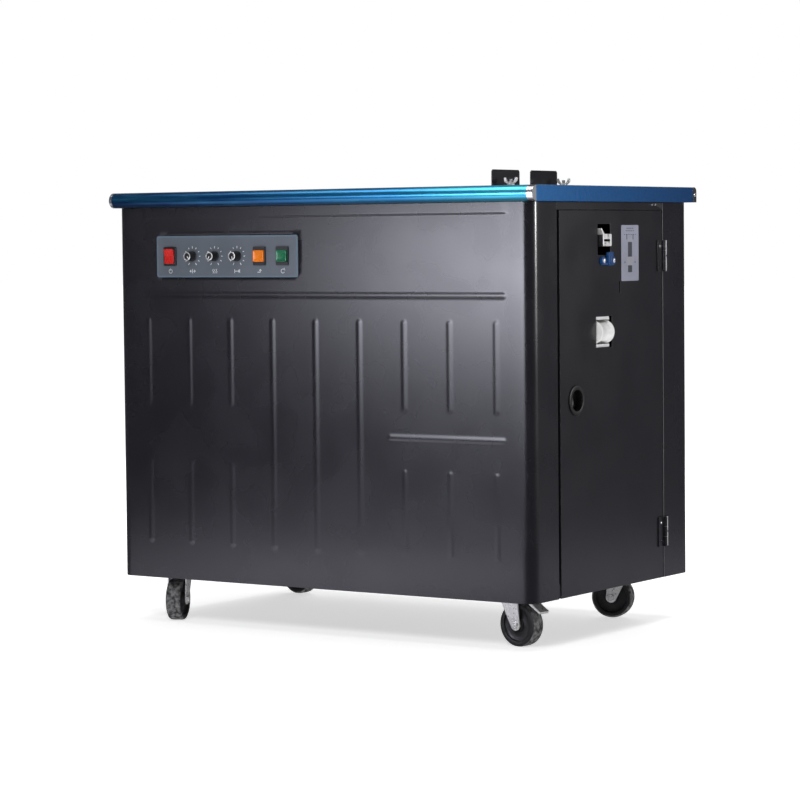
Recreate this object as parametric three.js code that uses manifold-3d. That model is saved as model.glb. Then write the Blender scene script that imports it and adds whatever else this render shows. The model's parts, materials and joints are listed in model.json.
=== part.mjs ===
// Semi automatic strapping machine: a sheet-metal cabinet on four swivel casters, a lift-up table with a
// strap channel, a front control plate, a strap reel behind a hinged side door and the sealing mechanism.
// Millimetres. +X runs right along the front, +Y to the back and +Z up; the origin is on the floor under the
// table's centre.
import * as THREE from "three";
import { mergeVertices } from "three/addons/utils/BufferGeometryUtils.js";
import Module from "manifold-3d";

const wasm = await Module();
wasm.setup();

// ---------------------------------------------------------------- driving dimensions
const GAP = 0.3; // running gap between neighbouring pieces
const BITE = 1; // how far a joined piece reaches into its neighbour
const PAST = 5; // how far a cutting block reaches past the metal it cuts
const SHEET = 1.5; // cabinet sheet thickness
const TABLE = { halfX: 447.5, halfY: 284.5, top: 775, bottom: 748, trim: 13.5, sideTrim: 6.5 };
const CABINET = { centreX: -5.15, halfX: 438.65, halfY: 266.5, bottom: 80.5, top: 747.7 };
const CORNER = { front: 22, rear: 5 }; // bend radii of the two wrapped panels
const LEFT_X = CABINET.centreX - CABINET.halfX; // outer face of the left side
const RIGHT_X = CABINET.centreX + CABINET.halfX; // outer face of the door side
const FRONT_Y = -CABINET.halfY; // outer face of the front panel
const FRONT_RETURN_Y = -183; // where the front panel's side returns end
const REAR_RETURN_Y = 181; // where the rear panel's side returns begin
const DOOR = { y0: -175, y1: 179, top: 733.5, flange: 16, headGap: 0.8 };
const PAN_DEPTH = 6; // how far the left panel and the door header fold inwards
const RIB = { width: 9, height: 2, pitch: 92.2, centre: -4.4, count: 9 };
const RIB_Z = { bottom: 151, lowerTop: 290, upperBottom: 400, top: 545 };
const CROSS_RIBS = [{ z: 592, x0: -380, x1: 379 }, { z: 350, x0: 151, x1: 378 }];
const STEP = { z: 730, x0: -380, x1: 385, proud: 1 }; // folded step under the table
const VENT = { x: 230, halfWidth: 60, z: 560, pitch: 20, height: 6, rows: 6 };
const TRAY = { bottom: 84, floor: 103, top: 105, wall: 2, corner: 20, inset: 1.8, recess: 22.5 };
const PLATE = { halfX: 47, halfY: 35 }; // the casters' top plates
const FRAME = { foot: 105.3, bar: 3, post: 31.4, inset: 2.1, railInset: 7.5, y0: 205, y1: 240 };
const RING = { z: 736, y: 258 };
const JAMB = { x: 25.5, y0: 160, y1: 208 };
const CONTROL = { x0: -351, x1: -38.5, z0: 623, z1: 697, sheet: 1.5, corner: 4, rim: 8 };
const CONTROL_ROW = { firstX: -320, pitch: 49.75, z: 660.5 };
const BOX = { inset: 6, front: -264.5, back: -205, z0: 628, z1: 694 };
const WHEEL = { radius: 37.5, halfWidth: 13.5, segments: 20, axle: 4 };
const CASTER = { x: 352, y: 202, trail: 26, plateBottom: 100 };
const HEADINGS = { fl: -68, fr: -7, rr: -164, rl: 175 }; // degrees each caster has swivelled to
const FORK = { sheet: 2.5, rear: -24, front: 31, crownZ: 86, shoulderZ: 80, eye: 9.5, room: 2, race: 27 };
const PEDAL = {
  halfWidth: 12,
  outline: [[14, 79], [44, 78], [62, 66], [74, 58.5], [76, 62], [64, 70], [46, 82.6], [14, 83.5]],
};
const LEAF = { innerY: 21, bottom: 769, sheet: 1.5, ledgeX: 430, ledgeY: 141 };
const STOP = { x: 260, y0: 19, y1: 109, height: 31, flange: 46, sheet: 2, slotReach: 14 };
const STUD = { x: 286, y: 89, radius: 3, height: 14 };
const TRACK = { halfY: 20.6, bottom: 757, grooveWidth: 16, grooveDepth: 2.5 };
const HEAD = { x0: -40, x1: 140, halfY: 16, anvilBottom: 767, plateBack: 3.7, notchX0: -20, notchX1: 10 };
const HEATER = { x0: 40, x1: 72, y0: 24, y1: 44, z0: 764, z1: 766 };
const HEATER_ARM = { x0: 50, x1: 62, y: 38, bottom: 716 };
const MECH = { x0: -110, x1: 155, feedEnd: 345, halfY: 52, plate: 4, bottom: 600, sideBottom: 690 };
const DECK = { bottom: 700, top: 712 };
const SHAFT = { x0: -111, x1: 168, y: -6, z: 650, radius: 9, cam: 24, camHalf: 6, offset: 7 };
const MOTOR = { x0: -330, x1: -175, radius: 46, cap: 38, flange: 50, caseHalf: 45, caseEnd: -112 };
const SLIDES = { left_gripper: [-20, 15], press_head: [35, 75], right_gripper: [95, 130] };
const SLIDE = { y0: -14, y1: 2, bottom: 690, top: 756 };
const FEED = { x: 250, z: 700, radius: 24, journal: 6, halfWidth: 20, stub: 34 };
const PINCH = { radius: 12, journal: 4, gap: 0.5 };
const REEL = { x0: 150, x1: 363, z: 330, radius: 200, drum: 98, spindle: 12, wall: 3 };
const STAND = { x0: 60, x1: 124, sheet: 4, halfY: 60, top: 370, spindleX0: 122, spindleX1: 380 };
const ROLLER = { x: 424, z: 525, y0: -50, y1: -8, flange: 20, body: 16.5, axle: 3 };
const BRACKET = { back: 396, front: 430, sheet: 2, z0: 501, z1: 549.5, hangerTop: 640 };
const ROLLER_WINDOW = { y0: -54, y1: 0.5, z0: 498.5, z1: 552 };
const GUIDE_WINDOW = { y0: -47, y1: -4, z0: 657, z1: 710 };
const GUIDE = {
  x0: 396, x1: 440, sheet: 4, y0: -40, y1: -12, z: 672, slotZ: 680, slotHeight: 4, slotMargin: 4,
  plate: { y0: -46, y1: -6, z0: 660, z1: 740 },
};
const KEY_SLOT = { y0: 26.5, y1: 29.5, z0: 591, z1: 611 };
const CUP = { y: -122, z: 412, ring: 26.5, bore: 18, depth: 14, lip: 2.6 };
const PIN = { x: 437.5, y: 181, knuckle: 3.6, radius: 1.5 };
const HINGE_LEAF = { doorReach: 20, frameReach: 22, clear: 4.2, outer: 2.3 };
const HINGES = { upper: [626, 681], lower: [136, 189] };

// ---------------------------------------------------------------- finishes
const finish = (color, roughness, metalness) =>
  new THREE.MeshStandardMaterial({ color, roughness, metalness });
const FINISH = {
  blackPaint: finish(0x2a2a2d, 0.35, 0.4),
  darkPaint: finish(0x1c1c1e, 0.5, 0.3),
  steel: finish(0xb9bcc0, 0.3, 0.9),
  stainless: finish(0xc9ccd0, 0.25, 1.0),
  zinc: finish(0xc4c6c4, 0.35, 0.9),
  blueFilm: finish(0x2fa6cf, 0.2, 0.1),
  slate: finish(0x5f6973, 0.5, 0.1),
  blackPlastic: finish(0x151517, 0.45, 0),
  red: finish(0xd73232, 0.35, 0),
  orange: finish(0xfa9614, 0.35, 0),
  green: finish(0x0a6e46, 0.35, 0),
  blue: finish(0x1f6fb5, 0.4, 0),
  nylon: finish(0xe9e9e6, 0.5, 0),
  rubber: finish(0x1a1a1b, 0.85, 0),
  grey: finish(0x8a8f94, 0.55, 0.4),
};

// ---------------------------------------------------------------- geometry helpers
function toSolid(geometry) {
  const bare = geometry.clone();
  bare.deleteAttribute("normal");
  bare.deleteAttribute("uv");
  const welded = mergeVertices(bare, 1e-4);
  const index = welded.index.array;
  const triVerts = [];
  for (let i = 0; i < index.length; i += 3) {
    const [a, b, c] = [index[i], index[i + 1], index[i + 2]];
    if (a !== b && b !== c && c !== a) triVerts.push(a, b, c);
  }
  const vertProperties = Float32Array.from(welded.attributes.position.array);
  const mesh = new wasm.Mesh({ numProp: 3, vertProperties, triVerts: Uint32Array.from(triVerts) });
  return new wasm.Manifold(mesh);
}

function toGeometry(solid) {
  const mesh = solid.getMesh();
  const geometry = new THREE.BufferGeometry();
  geometry.setAttribute("position", new THREE.BufferAttribute(mesh.vertProperties, 3));
  geometry.setIndex(new THREE.BufferAttribute(mesh.triVerts, 1));
  geometry.computeVertexNormals();
  return geometry;
}

const join = (...pieces) => toGeometry(pieces.map(toSolid).reduce((a, b) => a.add(b)));
const cut = (piece, ...tools) =>
  toGeometry(tools.map(toSolid).reduce((a, b) => a.subtract(b), toSolid(piece)));

function slab(x0, x1, y0, y1, z0, z1) {
  const box = new THREE.BoxGeometry(x1 - x0, y1 - y0, z1 - z0);
  return box.translate((x0 + x1) / 2, (y0 + y1) / 2, (z0 + z1) / 2);
}

function roundedRect(u0, u1, v0, v1, r) {
  const shape = new THREE.Shape();
  shape.moveTo(u0 + r, v0);
  shape.lineTo(u1 - r, v0);
  shape.absarc(u1 - r, v0 + r, r, -Math.PI / 2, 0);
  shape.absarc(u1 - r, v1 - r, r, 0, Math.PI / 2);
  shape.absarc(u0 + r, v1 - r, r, Math.PI / 2, Math.PI);
  shape.absarc(u0 + r, v0 + r, r, Math.PI, Math.PI * 1.5);
  return shape;
}

const polygon = (points) => new THREE.Shape(points.map(([u, v]) => new THREE.Vector2(u, v)));

function extrude(shape, depth, curveSegments) {
  return new THREE.ExtrudeGeometry(shape, { depth, bevelEnabled: false, curveSegments });
}

// A shape drawn in X, Y and pushed along Z.
const alongZ = (shape, z0, z1, segments = 4) => extrude(shape, z1 - z0, segments).translate(0, 0, z0);

// A shape drawn in X, Z and pushed along Y.
function alongY(shape, y0, y1, segments = 4) {
  return extrude(shape, y1 - y0, segments).rotateX(Math.PI / 2).translate(0, y1, 0);
}

// A shape drawn in Y, Z and pushed along X.
function alongX(shape, x0, x1, segments = 4) {
  const turn = new THREE.Matrix4().makeBasis(
    new THREE.Vector3(0, 1, 0),
    new THREE.Vector3(0, 0, 1),
    new THREE.Vector3(1, 0, 0),
  );
  return extrude(shape, x1 - x0, segments).applyMatrix4(turn).translate(x0, 0, 0);
}

// A turned piece: profile points are [radius, height], height running along +Y, +Z or +X.
function turned(profile, axis, segments = 20) {
  const points = profile.map(([r, h]) => new THREE.Vector2(r, h));
  const geometry = new THREE.LatheGeometry(points, segments, Math.PI / segments);
  if (axis === "z") geometry.rotateX(Math.PI / 2);
  if (axis === "x") geometry.rotateZ(-Math.PI / 2);
  return geometry;
}

const rod = (axis, radius, h0, h1, segments = 12) =>
  turned([[0, h0], [radius, h0], [radius, h1], [0, h1]], axis, segments);

// ---------------------------------------------------------------- assembly
const group = new THREE.Group();

function add(name, geometry, material, parent = group) {
  const mesh = new THREE.Mesh(geometry, material);
  mesh.name = name;
  parent.add(mesh);
  return mesh;
}

// ---------------------------------------------------------------- cabinet
// One sheet bent round both vertical corners, drawn about the cabinet's centre line and facing -Y;
// endY is where its side returns stop.
function wrappedSheet(corner, endY) {
  const { halfX, halfY } = CABINET;
  const inner = corner - SHEET;
  const shape = new THREE.Shape();
  shape.moveTo(-halfX, endY);
  shape.absarc(-halfX + corner, -halfY + corner, corner, Math.PI, Math.PI * 1.5);
  shape.absarc(halfX - corner, -halfY + corner, corner, Math.PI * 1.5, Math.PI * 2);
  shape.lineTo(halfX, endY);
  shape.lineTo(halfX - SHEET, endY);
  shape.absarc(halfX - corner, -halfY + corner, inner, Math.PI * 2, Math.PI * 1.5, true);
  shape.absarc(-halfX + corner, -halfY + corner, inner, Math.PI * 1.5, Math.PI, true);
  shape.lineTo(-halfX + SHEET, endY);
  return alongZ(shape, CABINET.bottom, CABINET.top, 5);
}

const ribBow = (middle, base) => {
  const half = RIB.width / 2;
  const shape = new THREE.Shape();
  shape.moveTo(middle + half, base + BITE);
  shape.lineTo(middle - half, base + BITE);
  shape.lineTo(middle - half, base);
  shape.quadraticCurveTo(middle, base - RIB.height * 2, middle + half, base);
  return shape;
};

const uprightRib = (x, z0, z1) => alongZ(ribBow(x, FRONT_Y), z0, z1, 4);

function crossRib({ z, x0, x1 }) {
  const bow = ribBow(0, 0);
  const turn = new THREE.Matrix4().makeBasis(
    new THREE.Vector3(0, 0, 1),
    new THREE.Vector3(0, 1, 0),
    new THREE.Vector3(-1, 0, 0),
  );
  return extrude(bow, x1 - x0, 4).applyMatrix4(turn).translate(x1, FRONT_Y, z);
}

function frontPanel() {
  const ribs = CROSS_RIBS.map(crossRib);
  for (let i = 0; i < RIB.count; i += 1) {
    const side = i - (RIB.count - 1) / 2;
    const x = RIB.centre + side * RIB.pitch;
    if (Math.abs(side) <= 1) {
      ribs.push(uprightRib(x, RIB_Z.bottom, RIB_Z.top));
    } else {
      ribs.push(uprightRib(x, RIB_Z.upperBottom, RIB_Z.top), uprightRib(x, RIB_Z.bottom, RIB_Z.lowerTop));
    }
  }
  const sheet = wrappedSheet(CORNER.front, FRONT_RETURN_Y).translate(CABINET.centreX, 0, 0);
  const step = slab(STEP.x0, STEP.x1, FRONT_Y - STEP.proud, FRONT_Y + BITE, STEP.z, CABINET.top);
  const { x0, x1, z0, z1, rim } = CONTROL;
  const opening = slab(x0 + rim, x1 - rim, FRONT_Y - PAST, FRONT_Y + PAST, z0 + rim, z1 - rim);
  return cut(join(sheet, step, ...ribs), opening);
}

function rearPanel() {
  const sheet = wrappedSheet(CORNER.rear, -REAR_RETURN_Y).rotateZ(Math.PI).translate(CABINET.centreX, 0, 0);
  const [y0, y1] = [CABINET.halfY - PAST, CABINET.halfY + PAST];
  const slots = [];
  for (const x of [-VENT.x, VENT.x]) {
    for (let row = 0; row < VENT.rows; row += 1) {
      const z = VENT.z + row * VENT.pitch;
      slots.push(slab(x - VENT.halfWidth, x + VENT.halfWidth, y0, y1, z, z + VENT.height));
    }
  }
  return cut(sheet, ...slots);
}

function leftPanel() {
  const { bottom, top } = CABINET;
  const y0 = FRONT_RETURN_Y + GAP;
  const y1 = REAR_RETURN_Y - GAP;
  return cut(
    slab(LEFT_X, LEFT_X + PAN_DEPTH, y0, y1, bottom, top),
    slab(LEFT_X + SHEET, LEFT_X + PAN_DEPTH + PAST, y0 + SHEET, y1 - SHEET, bottom + SHEET, top - SHEET),
  );
}

function doorHeader() {
  const y0 = FRONT_RETURN_Y + GAP;
  const y1 = REAR_RETURN_Y - GAP;
  const bottom = DOOR.top + DOOR.headGap;
  return join(
    slab(RIGHT_X - SHEET, RIGHT_X, y0, y1, bottom, CABINET.top),
    slab(RIGHT_X - PAN_DEPTH, RIGHT_X - SHEET + BITE, y0, y1, bottom, bottom + SHEET),
  );
}

function baseTray() {
  const reachX = CABINET.halfX - TRAY.inset;
  const reachY = CABINET.halfY - TRAY.inset;
  const { bottom, floor, top, wall, corner, recess } = TRAY;
  const outer = roundedRect(-reachX, reachX, -reachY, reachY, corner);
  const inner = roundedRect(-reachX + wall, reachX - wall, -reachY + wall, reachY - wall, corner - wall);
  const side = CABINET.halfX;
  const [z0, z1] = [bottom - PAST, top + PAST];
  const tray = cut(
    alongZ(outer, bottom, top, 4),
    alongZ(inner, z0, floor, 4),
    slab(side - recess, side, DOOR.y0 - 2, DOOR.y1 + 2.5, z0, z1),
    slab(-side, -side + recess, FRONT_RETURN_Y - 1, REAR_RETURN_Y + 1, z0, z1),
  );
  const plates = [];
  for (const sx of [-1, 1]) {
    for (const sy of [-1, 1]) {
      const [x, y] = [sx * CASTER.x, sy * CASTER.y];
      const { halfX, halfY } = PLATE;
      const plate = slab(-halfX, halfX, -halfY, halfY, CASTER.plateBottom, floor + BITE);
      plates.push(plate.translate(x, y, 0));
    }
  }
  return join(tray, ...plates).translate(CABINET.centreX, 0, 0);
}

// Angle-iron posts with jambs beside the door, and a top ring that the panels and the table bolt to.
function innerFrame() {
  const { foot, bar, post, inset, railInset, y0, y1 } = FRAME;
  const outerX = CABINET.halfX - inset;
  const railX = CABINET.halfX - railInset;
  const mirrored = (side, near, far) => (side > 0 ? [near, far] : [-far, -near]);
  const bars = [];
  for (const sx of [-1, 1]) {
    const [railA, railB] = mirrored(sx, railX - bar, railX);
    for (const sy of [-1, 1]) {
      const [postA, postB] = mirrored(sx, outerX - post, outerX);
      const [depthA, depthB] = mirrored(sy, y0, y1);
      const [faceA, faceB] = mirrored(sy, y0, y0 + bar);
      const [jambXA, jambXB] = mirrored(sx, CABINET.halfX - JAMB.x, CABINET.halfX - JAMB.x + bar);
      const [jambYA, jambYB] = mirrored(sy, JAMB.y0, JAMB.y1);
      bars.push(slab(postA, postB, faceA, faceB, foot, CABINET.top));
      bars.push(slab(railA, railB, depthA, depthB, foot, CABINET.top));
      bars.push(slab(jambXA, jambXB, jambYA, jambYB, foot, DOOR.top));
    }
    const [ringA, ringB] = mirrored(sx, RING.y - bar, RING.y);
    bars.push(slab(railA, railB, -RING.y + bar, RING.y - bar, RING.z, CABINET.top));
    bars.push(slab(-railX, railX, ringA, ringB, RING.z, CABINET.top));
  }
  return join(...bars).translate(CABINET.centreX, 0, 0);
}

function addCabinet() {
  add("base_tray", baseTray(), FINISH.darkPaint);
  add("inner_frame", innerFrame(), FINISH.darkPaint);
  add("front_panel", frontPanel(), FINISH.blackPaint);
  add("rear_panel", rearPanel(), FINISH.blackPaint);
  add("left_panel", leftPanel(), FINISH.blackPaint);
  add("door_header", doorHeader(), FINISH.blackPaint);
}

// ---------------------------------------------------------------- table
function noseTrim() {
  const y = -TABLE.halfY + TABLE.trim;
  const middle = (TABLE.top + TABLE.bottom) / 2;
  const shape = new THREE.Shape();
  shape.moveTo(y, TABLE.top);
  shape.absarc(y, middle, TABLE.trim, Math.PI / 2, Math.PI * 1.5);
  return alongX(shape, -TABLE.halfX, TABLE.halfX, 10);
}

function rearTrim() {
  const y0 = TABLE.halfY - TABLE.trim;
  const radius = 8;
  const shape = new THREE.Shape();
  shape.moveTo(y0, TABLE.bottom);
  shape.lineTo(TABLE.halfY, TABLE.bottom);
  shape.absarc(TABLE.halfY - radius, TABLE.top - radius, radius, 0, Math.PI / 2);
  shape.lineTo(y0, TABLE.top);
  return alongX(shape, -TABLE.halfX, TABLE.halfX, 5);
}

function sideTrim(side) {
  const x = side * TABLE.halfX;
  const reach = TABLE.halfY - TABLE.trim - GAP;
  const [x0, x1] = side > 0 ? [x - TABLE.sideTrim, x] : [x, x + TABLE.sideTrim];
  return slab(x0, x1, -reach, reach, TABLE.bottom, TABLE.top);
}

const INNER_X = TABLE.halfX - TABLE.sideTrim - GAP;
const INNER_Y = TABLE.halfY - TABLE.trim - GAP;

function tableTray() {
  const { ledgeX, ledgeY, bottom } = LEAF;
  const sheet = 2;
  const floorZ = TABLE.bottom + GAP;
  const floor = slab(-INNER_X, INNER_X, -INNER_Y, INNER_Y, floorZ, floorZ + sheet);
  const ledges = [-ledgeY, ledgeY].map((y) =>
    slab(-ledgeX, ledgeX, y - sheet / 2, y + sheet / 2, floorZ + sheet - BITE, bottom - GAP),
  );
  const room = 4;
  const reach = MECH.halfY + room;
  const [x0, x1] = [MECH.x0 - room, MECH.feedEnd + room];
  return cut(join(floor, ...ledges), slab(x0, x1, -reach, reach, TABLE.bottom - PAST, floorZ + PAST));
}

function tableLeaf(side) {
  const [y0, y1] = side > 0 ? [LEAF.innerY, INNER_Y] : [-INNER_Y, -LEAF.innerY];
  const t = LEAF.sheet;
  const pan = cut(
    slab(-INNER_X, INNER_X, y0, y1, LEAF.bottom, TABLE.top),
    slab(-INNER_X + t, INNER_X - t, y0 + t, y1 - t, LEAF.bottom - PAST, TABLE.top - t),
  );
  const stud = rod("z", STUD.radius, TABLE.top - BITE, TABLE.top + STUD.height);
  return join(pan, stud.translate(STUD.x, side * STUD.y, 0));
}

function parcelStop(side) {
  const z = TABLE.top + GAP;
  const [y0, y1] = side > 0 ? [STOP.y0, STOP.y1] : [-STOP.y1, -STOP.y0];
  const [x0, x1] = [STOP.x - STOP.sheet / 2, STOP.x + STOP.sheet / 2];
  const corner = 5;
  const upright = alongX(roundedRect(y0, y1, z, TABLE.top + STOP.height, corner), x0, x1);
  const squareFoot = slab(x0, x1, y0, y1, z, z + corner + BITE);
  const flange = alongZ(roundedRect(x0, STOP.x + STOP.flange, y0 + 2, y1 - 2, corner), z, z + STOP.sheet);
  const half = STUD.radius + 2 * GAP;
  const slotShape = roundedRect(-STOP.slotReach, STOP.slotReach, -half, half, half - 0.1);
  const slot = alongZ(slotShape, z - PAST, z + STOP.sheet + PAST).translate(STUD.x, side * STUD.y, 0);
  return cut(join(upright, squareFoot, flange), slot);
}

function wingNut() {
  const bore = STUD.radius + GAP;
  const hub = turned([[bore, 0], [7, 0], [6, 6], [bore, 6], [bore, 0]], "z", 16);
  const wings = [-1, 1].map((side) => {
    const outline = polygon([[4.6, 0.8], [13, 8], [13.5, 13.5], [10, 14.5], [7.5, 9], [4.6, 5.4]]);
    const wing = alongY(outline, -1.2, 1.2);
    return side > 0 ? wing : wing.rotateZ(Math.PI);
  });
  return join(hub, ...wings);
}

function strapTrack() {
  const reach = INNER_X;
  const { halfY, bottom, grooveWidth, grooveDepth } = TRACK;
  const top = TABLE.top - GAP;
  const footZ = TABLE.bottom + GAP + 2 + GAP;
  const [footIn, footOut] = [reach - 14.7, reach - 2.7];
  return cut(
    join(
      slab(-reach, reach, -halfY, halfY, bottom, top),
      slab(-footOut, -footIn, -halfY, halfY, footZ, bottom + BITE),
      slab(footIn, footOut, -halfY, halfY, footZ, bottom + BITE),
    ),
    slab(-reach - PAST, reach + PAST, -grooveWidth / 2, grooveWidth / 2, top - grooveDepth, top + PAST),
    slab(HEAD.x0, HEAD.x1, -HEAD.halfY, HEAD.halfY, bottom - PAST, top + PAST),
    slab(HEATER.x0 - 2, HEATER.x1 + 2, HEAD.halfY - BITE, halfY + PAST, bottom - PAST, HEAD.anvilBottom),
  );
}

function sliderPlate() {
  const { x0, x1, halfY, anvilBottom, plateBack, notchX0, notchX1 } = HEAD;
  const body = slab(x0 + GAP, x1 - GAP, -halfY + GAP, plateBack, anvilBottom, TABLE.top - GAP);
  const fingerNotch = slab(notchX0, notchX1, -BITE, plateBack + PAST, anvilBottom - PAST, TABLE.top + PAST);
  return cut(body, fingerNotch);
}

function addTable() {
  add("table_tray", tableTray(), FINISH.darkPaint);
  add("front_edge_trim", noseTrim(), FINISH.blueFilm);
  add("rear_edge_trim", rearTrim(), FINISH.blueFilm);
  add("left_edge_trim", sideTrim(-1), FINISH.blueFilm);
  add("right_edge_trim", sideTrim(1), FINISH.blueFilm);
  add("strap_track", strapTrack(), FINISH.stainless);
  add("slider_plate", sliderPlate(), FINISH.steel);
  for (const [name, side] of [["front", -1], ["rear", 1]]) {
    add(`${name}_table_leaf`, tableLeaf(side), FINISH.stainless);
    add(`${name}_parcel_stop`, parcelStop(side), FINISH.blackPaint);
    const nut = add(`${name}_wing_nut`, wingNut(), FINISH.zinc);
    nut.position.set(STUD.x, side * STUD.y, TABLE.top + STOP.sheet + 2 * GAP);
  }
}

// ---------------------------------------------------------------- control plate
const controlX = (index) => CONTROL_ROW.firstX + index * CONTROL_ROW.pitch;
const PLATE_BACK = FRONT_Y - GAP;
const PLATE_FRONT = PLATE_BACK - CONTROL.sheet;

// Switch bodies have a bezel in front of the plate and a square body behind it.
const SWITCHES = {
  rocker_switch_body: { index: 0, halfX: 14, halfZ: 17, capX: 10.5, capZ: 14 },
  feed_switch_body: { index: 4, halfX: 13.2, halfZ: 16.5, capX: 11.5, capZ: 10.5 },
  reset_switch_body: { index: 5, halfX: 13.2, halfZ: 16.5, capX: 11.5, capZ: 10.5 },
};

const DIAL_PLACES = [1, 2, 3];
const KNOB = { tip: 7.4, radius: 8.5, skirt: 9.5, length: 15.8, spindle: 3, spindleLength: 14, bore: 4 };
const BEZEL = { depth: 3, back: -235, floor: -258, inset: 2 };

function controlPlate() {
  const { x0, x1, z0, z1, corner } = CONTROL;
  const { z } = CONTROL_ROW;
  const [y0, y1] = [PLATE_FRONT - PAST, PLATE_BACK + PAST];
  const lap = 1.5;
  const holes = Object.values(SWITCHES).map(({ index, halfX, halfZ }) => {
    const x = controlX(index);
    return slab(x - halfX + lap, x + halfX - lap, y0, y1, z - halfZ + lap, z + halfZ - lap);
  });
  for (const index of DIAL_PLACES) holes.push(rod("y", KNOB.bore, y0, y1).translate(controlX(index), 0, z));
  return cut(alongY(roundedRect(x0, x1, z0, z1, corner), PLATE_FRONT, PLATE_BACK), ...holes);
}

function switchBody({ index, halfX, halfZ, capX, capZ }) {
  const x = controlX(index);
  const { z } = CONTROL_ROW;
  const bezel = roundedRect(x - halfX, x + halfX, z - halfZ, z + halfZ, 2);
  const front = PLATE_FRONT - BEZEL.depth;
  const [bodyX, bodyZ] = [halfX - BEZEL.inset, halfZ - BEZEL.inset];
  const [holeX, holeZ] = [capX + GAP, capZ + GAP];
  return cut(
    join(
      alongY(bezel, front, PLATE_FRONT - GAP, 3),
      slab(x - bodyX, x + bodyX, PLATE_FRONT - BITE, BEZEL.back, z - bodyZ, z + bodyZ),
    ),
    slab(x - holeX, x + holeX, front - PAST, BEZEL.floor, z - holeZ, z + holeZ),
  );
}

// Seen from the side, as a list of distances in front of the plate and above the rocker's middle.
const ROCKER = {
  halfX: 10.2,
  outline: [[8.2, 13.4], [4.9, 0], [5.5, -13.4], [-4.3, -9], [-6.3, 0], [-4.3, 9]],
};
const BUTTON = { halfX: 11.2, halfZ: 10.2, corner: 1.5, proud: 6.5, depth: 5.8 };

function powerRocker() {
  const x = controlX(0);
  const shape = polygon(ROCKER.outline.map(([out, up]) => [PLATE_FRONT - out, CONTROL_ROW.z + up]));
  return alongX(shape, x - ROCKER.halfX, x + ROCKER.halfX);
}

function pushButton(index) {
  const x = controlX(index);
  const { halfX, halfZ, corner, proud, depth } = BUTTON;
  const { z } = CONTROL_ROW;
  const cap = roundedRect(x - halfX, x + halfX, z - halfZ, z + halfZ, corner);
  return alongY(cap, PLATE_FRONT - proud, PLATE_FRONT + depth, 3);
}

// A pointer knob with a skirt; its spindle reaches back through the plate.
function dialKnob(index) {
  const { tip, radius, skirt, length, spindle, spindleLength } = KNOB;
  const profile = [
    [0, -length], [tip, -length], [radius, -length + 1.4], [radius, -2], [skirt, 0],
    [spindle, 0], [spindle, spindleLength], [0, spindleLength],
  ];
  return turned(profile, "y", 20).translate(controlX(index), PLATE_FRONT - GAP, CONTROL_ROW.z);
}

function controlBox() {
  const { inset, front, back, z0, z1 } = BOX;
  const [x0, x1] = [CONTROL.x0 + inset, CONTROL.x1 - inset];
  return cut(
    slab(x0, x1, front, back, z0, z1),
    slab(x0 + SHEET, x1 - SHEET, front - PAST, back - SHEET, z0 + SHEET, z1 - SHEET),
  );
}

function addControls() {
  add("control_plate", controlPlate(), FINISH.slate);
  add("control_box", controlBox(), FINISH.grey);
  for (const [name, size] of Object.entries(SWITCHES)) add(name, switchBody(size), FINISH.blackPlastic);
  add("power_rocker", powerRocker(), FINISH.red);
  add("feed_button", pushButton(4), FINISH.orange);
  add("reset_button", pushButton(5), FINISH.green);
  ["tension_knob", "heat_knob", "feed_length_knob"].forEach((name, i) => {
    add(name, dialKnob(DIAL_PLACES[i]), FINISH.blackPlastic);
  });
}

// ---------------------------------------------------------------- side door and its hinges
function sideDoor() {
  const x = RIGHT_X;
  const { y0, y1, top, flange } = DOOR;
  const bottom = CABINET.bottom;
  const window = (w) => slab(x - PAST, x + PAST, w.y0, w.y1, w.z0, w.z1);
  return cut(
    slab(x - flange, x, y0, y1, bottom, top),
    slab(x - flange - PAST, x - SHEET, y0 + SHEET, y1 - SHEET, bottom + SHEET, top - SHEET),
    window(GUIDE_WINDOW),
    window(ROLLER_WINDOW),
    window(KEY_SLOT),
    rod("x", CUP.bore + 2, x - PAST, x + PAST, 20).translate(0, CUP.y, CUP.z),
  );
}

function fingerCup() {
  const x = RIGHT_X;
  const wall = CUP.bore + SHEET;
  const back = x - CUP.depth;
  const lip = x + CUP.lip;
  const profile = [
    [0, back], [wall, back], [wall, x + GAP], [CUP.ring, x + GAP], [CUP.ring - 0.8, lip],
    [CUP.bore, lip], [CUP.bore, back + SHEET], [0, back + SHEET],
  ];
  return turned(profile, "x", 20).translate(0, CUP.y, CUP.z);
}

// Three knuckles share the pin: the outer two belong to the door leaf, the middle one to the frame leaf.
function hingeKnuckles(z0, z1) {
  const third = (z1 - z0) / 3;
  return [[z0, z0 + third - GAP], [z0 + third, z1 - third], [z1 - third + GAP, z1]];
}

const LEAF_X = [RIGHT_X + GAP, RIGHT_X + HINGE_LEAF.outer];
const knuckle = ([z0, z1]) => rod("z", PIN.knuckle, z0, z1).translate(PIN.x, PIN.y, 0);

// A strip of leaf between two distances from the pin, towards the back of the machine when positive.
const leafStrip = (near, far, z0, z1) => slab(LEAF_X[0], LEAF_X[1], PIN.y + near, PIN.y + far, z0, z1);

function doorHingeLeaf([z0, z1]) {
  const { doorReach, clear } = HINGE_LEAF;
  const [low, , high] = hingeKnuckles(z0, z1);
  const tab = ([a, b]) => leafStrip(-clear - 3, -2, a, b);
  const plate = leafStrip(-doorReach, -clear, z0, z1);
  const bore = rod("z", PIN.radius + GAP, z0 - PAST, z1 + PAST).translate(PIN.x, PIN.y, 0);
  return cut(join(plate, tab(low), tab(high), knuckle(low), knuckle(high)), bore);
}

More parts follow.
